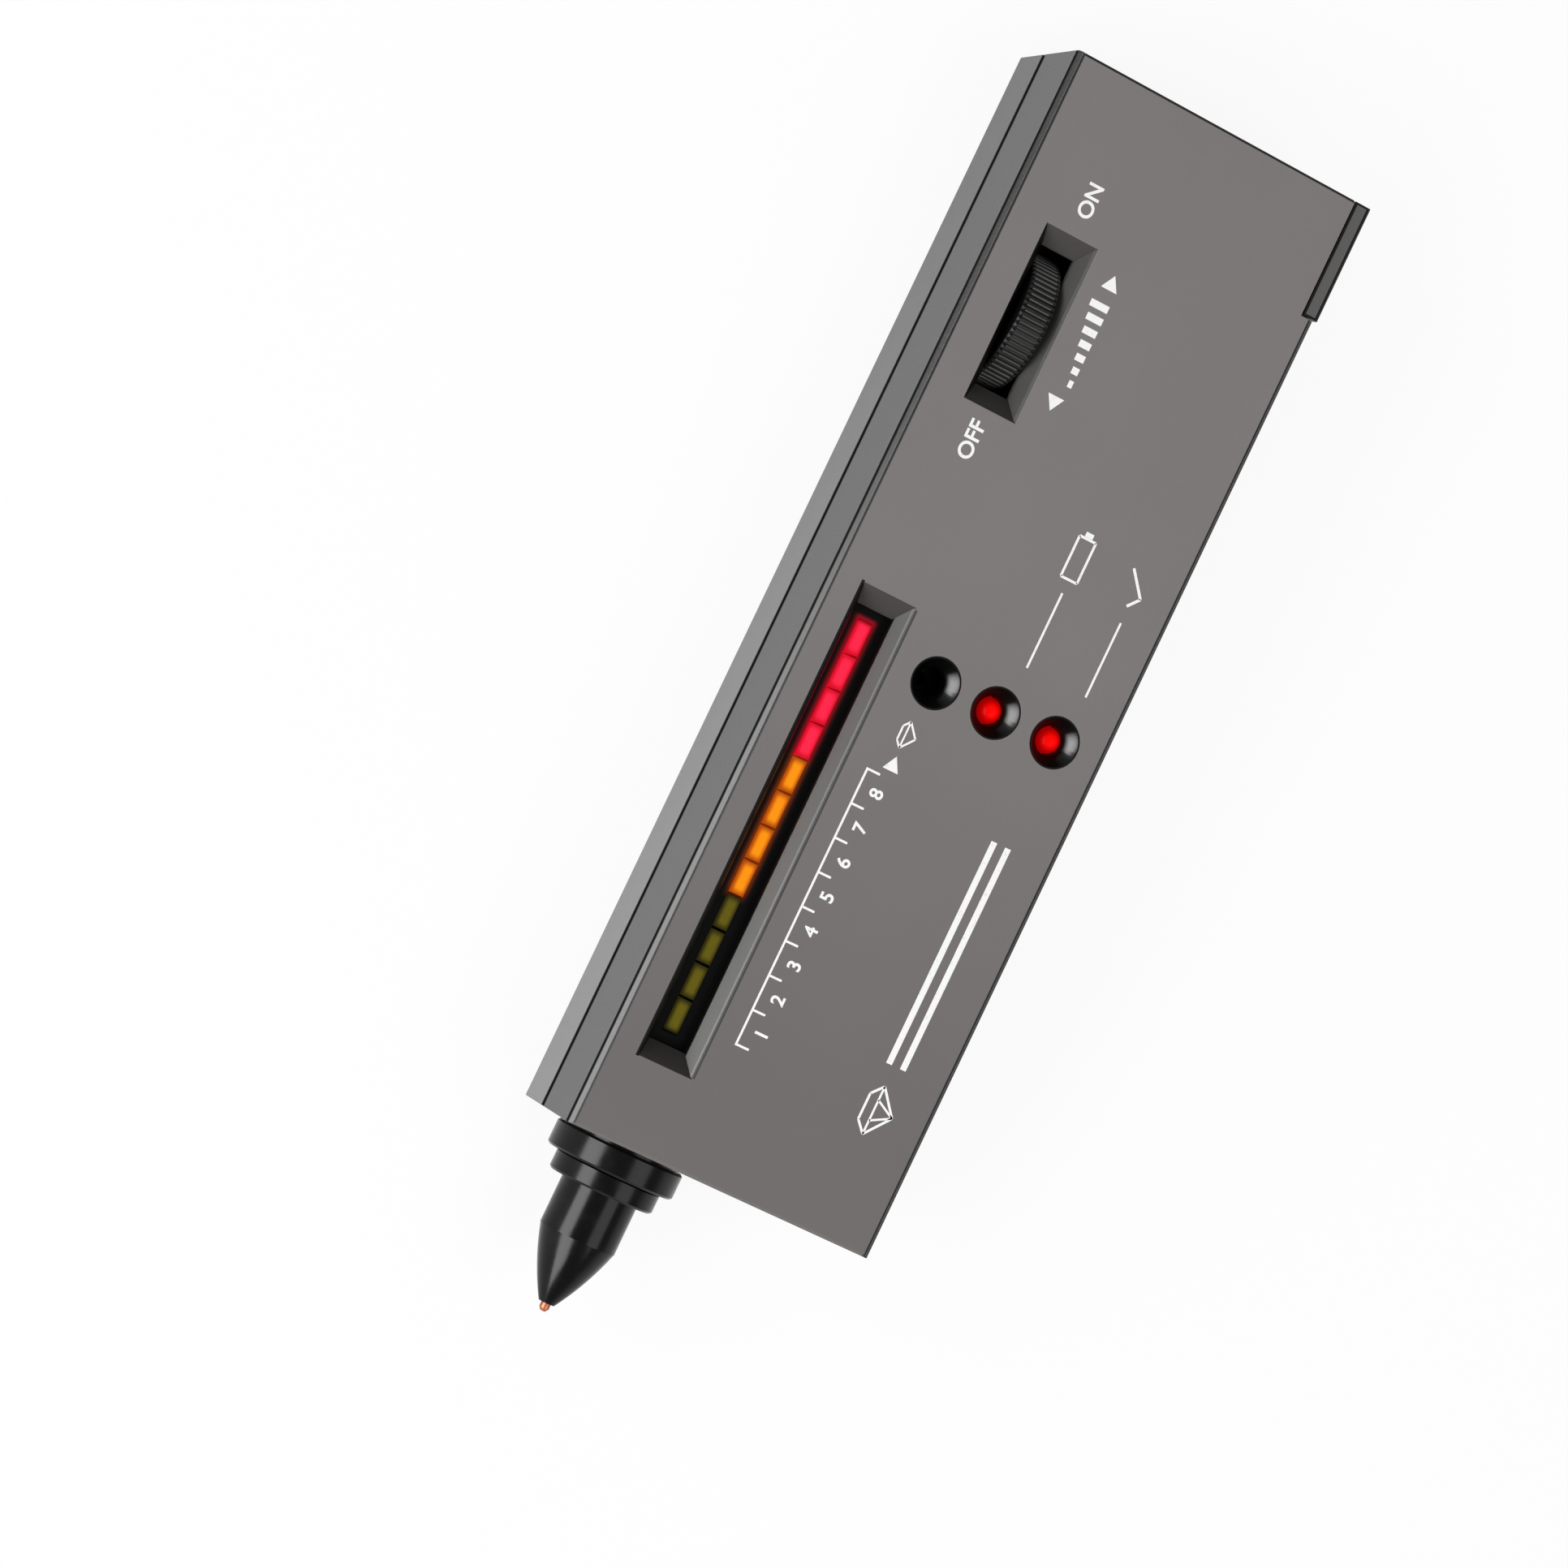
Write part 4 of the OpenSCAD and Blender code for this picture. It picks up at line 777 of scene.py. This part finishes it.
def windCoil(look):
    low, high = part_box("return_spring")
    wire = look["wire"] * mm
    radius = (high.x - low.x) / 2 - wire
    middle = (low + high) / 2
    last = look["turns"] * look["rings"]
    drop = (high.y - low.y - 2 * wire) / last
    slope = drop * look["rings"] / (2 * math.pi * radius)
    coil = bmesh.new()
    rings = []
    for step in range(last + 1):
        angle = 2 * math.pi * step / look["rings"]
        out = Vector((math.cos(angle), 0, math.sin(angle)))
        ahead = Vector((-math.sin(angle), -slope, math.cos(angle))).normalized()
        across = out.cross(ahead)
        centre = Vector((middle.x, high.y - wire - drop * step, middle.z)) + out * radius
        turns = [2 * math.pi * side / look["sides"] for side in range(look["sides"])]
        spokes = [out * math.cos(turn) + across * math.sin(turn) for turn in turns]
        rings.append([coil.verts.new(centre + spoke * wire) for spoke in spokes])
    for first, second in zip(rings, rings[1:]):
        for side in range(look["sides"]):
            beside = (side + 1) % look["sides"]
            coil.faces.new((first[side], first[beside], second[beside], second[side]))
    coil.faces.new(rings[0])
    coil.faces.new(rings[-1])
    bmesh.ops.recalc_face_normals(coil, faces=coil.faces)
    data = bpy.data.meshes.new("returnCoil")
    coil.to_mesh(data)
    coil.free()
    data.shade_smooth()
    data.materials.append(nodes["return_spring"].data.materials[0])
    made = show("returnCoil", data)
    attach(made, "case")
    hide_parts("return_spring")
    travel = next(joint for joint in frame["joints"] if joint["name"] == "probe_press")["range_m"][1]
    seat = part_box("spring_plug")[0].y
    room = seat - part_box("heater_bead")[1].y
    1 - travel / room
    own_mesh(made)


windCoil(coilLook)
print("spring: wound")


# Printed marks on the face, of ink that stands a little above it
inkLook = {
    "white": (240, 240, 238), "thin": (214, 214, 210), "patch": 1800.0, "thinFrom": (0.55, 0.85),
    "rough": 0.5, "roughSpread": 0.2, "depth": 0.008, "bump": 0.3,
    "sink": 0.02, "stand": 0.025, "weight": 0.06, "capShare": 0.73,
}


def inkFinish(look):
    material, bench = newFinish("whiteInk")
    patch = bench.noise(bench.place(), look["patch"], 3.0)
    bench.surface({
        "Base Color": bench.mix(patch.ramp(*look["thinFrom"]), tint(*look["white"]), tint(*look["thin"])),
        "Roughness": look["rough"] + (patch - 0.5) * look["roughSpread"],
        "Normal": bench.bump(patch, look["depth"] * mm, look["bump"]),
    })
    return material


whiteInk = inkFinish(inkLook)


class Print:
    def __init__(self, name):
        self.name = name
        self.mesh = bmesh.new()

    def patch(self, points):
        foot = faceZ - inkLook["sink"] * mm
        flat = self.mesh.faces.new([self.mesh.verts.new((x * mm, endY + y * mm, foot)) for x, y in points])
        raised = bmesh.ops.extrude_face_region(self.mesh, geom=[flat])["geom"]
        top = [part for part in raised if isinstance(part, bmesh.types.BMVert)]
        bmesh.ops.translate(self.mesh, verts=top, vec=(0, 0, (inkLook["sink"] + inkLook["stand"]) * mm))

    def line(self, start, end, width):
        first, last = Vector(start), Vector(end)
        side = (last - first).orthogonal().normalized() * (width / 2)
        self.patch([first + side, first - side, last - side, last + side])

    def path(self, points, width):
        for start, end in zip(points, points[1:]):
            self.line(start, end, width)

    def words(self, text, x, y, height):
        curve = bpy.data.curves.new("letters", "FONT")
        curve.body = text
        curve.align_x = "CENTER"
        curve.align_y = "CENTER"
        curve.size = height / inkLook["capShare"]
        curve.offset = inkLook["weight"]
        curve.extrude = (inkLook["sink"] + inkLook["stand"]) / 2
        holder = show("letters", curve)
        made = bpy.data.meshes.new_from_object(holder.evaluated_get(bpy.context.evaluated_depsgraph_get()))
        lift = faceZ + (inkLook["stand"] - inkLook["sink"]) / 2 * mm
        turn = Matrix.Rotation(math.pi / 2, 4, "Z") @ Matrix.Scale(mm, 4)
        made.transform(Matrix.Translation((x * mm, endY + y * mm, lift)) @ turn)
        self.mesh.from_mesh(made)
        bpy.data.objects.remove(holder)
        bpy.data.meshes.remove(made)
        bpy.data.curves.remove(curve)

    def done(self):
        bmesh.ops.recalc_face_normals(self.mesh, faces=self.mesh.faces)
        data = bpy.data.meshes.new(self.name)
        self.mesh.to_mesh(data)
        self.mesh.free()
        data.materials.append(whiteInk)
        made = show(self.name, data)
        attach(made, "case")


# Scale beside the lamps: ticks with numbers, an arrow and a stone
scaleLook = {
    "x": -7.0, "tick": 2.0, "start": 18.7, "pitch": 5.08, "marks": 9, "line": 0.32,
    "digitX": -4.2, "digit": 2.0,
    "arrow": [(-5.15, 60.4), (-2.75, 60.4), (-3.95, 62.5)],
    "stone": [(-5.0, 64.6), (-5.0, 66.6), (-4.2, 67.5), (-2.6, 65.6), (-4.2, 63.7), (-5.0, 64.6)],
    "stoneLine": 0.28, "facet": [(-4.2, 63.7), (-4.2, 67.5)], "facetLine": 0.24,
}


def printScale(look):
    scale = Print("scalePrint")
    half = look["line"] / 2
    end = look["start"] + look["pitch"] * (look["marks"] - 1)
    scale.line((look["x"], look["start"] - half), (look["x"], end + half), look["line"])
    for mark in range(look["marks"]):
        tickY = look["start"] + mark * look["pitch"]
        scale.line((look["x"] + half, tickY), (look["x"] + look["tick"], tickY), look["line"])
        if mark:
            scale.words(str(mark), look["digitX"], tickY - look["pitch"] / 2, look["digit"])
    scale.patch(look["arrow"])
    scale.path(look["stone"], look["stoneLine"])
    scale.path(look["facet"], look["facetLine"])
    scale.done()


# Marks at the wheel: ON and OFF, an arrow each way and bars that grow
switchLook = {
    "on": (-13.0, 140.3), "off": (-13.7, 104.7), "letter": 2.3,
    "arrows": [
        [(-6.75, 115.1), (-4.25, 115.1), (-5.5, 113.0)],
        [(-6.55, 130.95), (-4.05, 130.95), (-5.3, 133.05)],
    ],
    "bars": 7, "barX": -4.1, "barStart": 117.4, "barPitch": 1.85,
    "bar": 0.7, "barGrowth": 0.36, "barWidth": 1.0,
}


def printSwitch(look):
    switch = Print("switchPrint")
    switch.words("ON", *look["on"], look["letter"])
    switch.words("OFF", *look["off"], look["letter"])
    for arrow in look["arrows"]:
        switch.patch(arrow)
    for bar in range(look["bars"]):
        barY = look["barStart"] + bar * look["barPitch"]
        barEnd = look["barX"] - look["bar"] - bar * look["barGrowth"]
        switch.line((look["barX"], barY), (barEnd, barY), look["barWidth"])
    switch.done()


# Marks at the signal lamps: a line to a battery and a line to a check mark
legendLook = {
    "lamps": (7.4, 16.9), "start": 80.9, "end": 92.0, "line": 0.32,
    "battery": [(6.1, 94.0), (8.7, 94.0), (8.7, 100.0), (6.1, 100.0), (6.1, 94.0)], "batteryLine": 0.35,
    "terminal": [(6.8, 100.2), (8.0, 100.2), (8.0, 100.9), (6.8, 100.9)],
    "check": [(16.6, 94.4), (18.0, 96.0), (15.2, 99.4)], "checkLine": 0.4,
}


def printLegend(look):
    legend = Print("lampPrint")
    for lampX in look["lamps"]:
        legend.line((lampX, look["start"]), (lampX, look["end"]), look["line"])
    legend.path(look["battery"], look["batteryLine"])
    legend.patch(look["terminal"])
    legend.path(look["check"], look["checkLine"])
    legend.done()


# Badge: a cut stone and two plain stripes
badgeLook = {
    "stone": [(13.4, 16.6), (13.4, 20.4), (14.9, 22.0), (17.8, 18.5), (14.9, 15.0), (13.4, 16.6)],
    "stoneLine": 0.35, "facetLine": 0.3,
    "facets": [[(14.9, 15.0), (14.9, 22.0)], [(14.9, 17.0), (17.8, 18.5), (14.9, 20.0)]],
    "stripes": (14.0, 16.2), "stripe": 0.9, "start": 25.0, "end": 58.0,
}


def printBadge(look):
    badge = Print("badgePrint")
    badge.path(look["stone"], look["stoneLine"])
    for facet in look["facets"]:
        badge.path(facet, look["facetLine"])
    for stripeX in look["stripes"]:
        badge.line((stripeX, look["start"]), (stripeX, look["end"]), look["stripe"])
    badge.done()


printScale(scaleLook)
printSwitch(switchLook)
printLegend(legendLook)
printBadge(badgeLook)
print("prints: made")


# Floor
floorLook = {
    "reach": 6.0, "gap": 0.2, "dark": (236, 236, 236), "light": (240, 240, 240), "mottle": 6.0,
    "rough": 0.9, "gloss": 0.1, "whiteShare": 0.9,
}


def floorFinish(look):
    material, bench = newFinish("floorWhite")
    mottle = bench.noise(bench.place(), look["mottle"])
    lit = bench.shader({
        "Base Color": bench.mix(mottle, tint(*look["dark"]), tint(*look["light"])),
        "Roughness": look["rough"], "Specular IOR Level": look["gloss"],
    })
    plain = bench.node("ShaderNodeEmission", sockets={"Color": white, "Strength": 1.0})
    mixed = bench.blend(bench.seen() * look["whiteShare"], lit, plain)
    bench.node("ShaderNodeOutputMaterial", sockets={"Surface": mixed})
    return material


floorMesh = bpy.data.meshes.new("floor")
reach = floorLook["reach"]
corners = [(-reach, -reach, 0), (reach, -reach, 0), (reach, reach, 0), (-reach, reach, 0)]
floorMesh.from_pydata(corners, [], [(0, 1, 2, 3)])
floorMesh.materials.append(floorFinish(floorLook))
floor = show("floor", floorMesh)
floor.location.z = cadLow.z - floorLook["gap"] * mm


# Studio: white round the horizon, softer overhead
skyLook = {"soft": 0.32, "horizon": (0.45, 0.1)}
world = bpy.data.worlds.new("studio")
world.use_nodes = True
bpy.context.scene.world = world
sky = Bench(world.node_tree)
soft = sky.node("ShaderNodeBackground", sockets={"Color": white, "Strength": skyLook["soft"]})
plain = sky.node("ShaderNodeBackground", sockets={"Color": white, "Strength": 1.0})
height = sky.axes(sky.node("ShaderNodeTexCoord", out="Generated"))[2]
backdrop = sky.blend(sky.seen() * height.ramp(*skyLook["horizon"]), soft, plain)
sky.node("ShaderNodeOutputWorld", sockets={"Surface": backdrop})


# Lights: the band light, just behind the left one, only shows in glossy finishes
leftAim = (-0.769, -0.358, 0.530)
lightLooks = {
    "leftLight": {"from": leftAim, "distance": 1.0, "size": (1.5, 0.58), "power": 11.4, "diffuse": True},
    "rightLight": {
        "from": (0.44, -0.2, 0.87), "distance": 1.1, "size": (1.0, 0.6), "power": 4.8, "diffuse": True,
    },
    "bandLight": {"from": leftAim, "distance": 1.03, "size": (1.545, 0.6), "power": 19.0, "diffuse": False},
}
for name, look in lightLooks.items():
    lamp = bpy.data.lights.new(name, "AREA")
    lamp.shape = "RECTANGLE"
    lamp.size, lamp.size_y = look["size"]
    lamp.energy = look["power"]
    holder = show(name, lamp)
    aim = Vector(look["from"]).normalized()
    across = Vector((0, 0, 1)).cross(aim).normalized()
    basis = Matrix((across, aim.cross(across), aim)).transposed()
    holder.matrix_world = Matrix.Translation(aim * look["distance"]) @ basis.to_4x4()
    holder.visible_camera = False
    holder.visible_diffuse = look["diffuse"]


# Camera, fitted to the case's edges in the photo: frame and focal length in pixels
cameraLook = {
    "frame": 1932, "focal": 7277.08, "sensor": 36.0, "clip": (0.01, 50.0),
    "place": (-0.28149, -0.03298, 0.75942), "right": (0.84577, 0.43052, 0.31515),
    "up": (-0.41282, 0.90225, -0.12464), "back": (-0.33800, -0.02469, 0.94082),
}
cameraData = bpy.data.cameras.new("photoCamera")
cameraData.sensor_width = cameraLook["sensor"]
cameraData.lens = cameraLook["focal"] / cameraLook["frame"] * cameraLook["sensor"]
cameraData.clip_start, cameraData.clip_end = cameraLook["clip"]
camera = show("photoCamera", cameraData)
turn = Matrix((cameraLook["right"], cameraLook["up"], cameraLook["back"])).transposed()
camera.matrix_world = Matrix.Translation(cameraLook["place"]) @ turn.to_4x4()
bpy.context.scene.camera = camera
bpy.context.scene.view_settings.view_transform = "Standard"
print("stage: set")
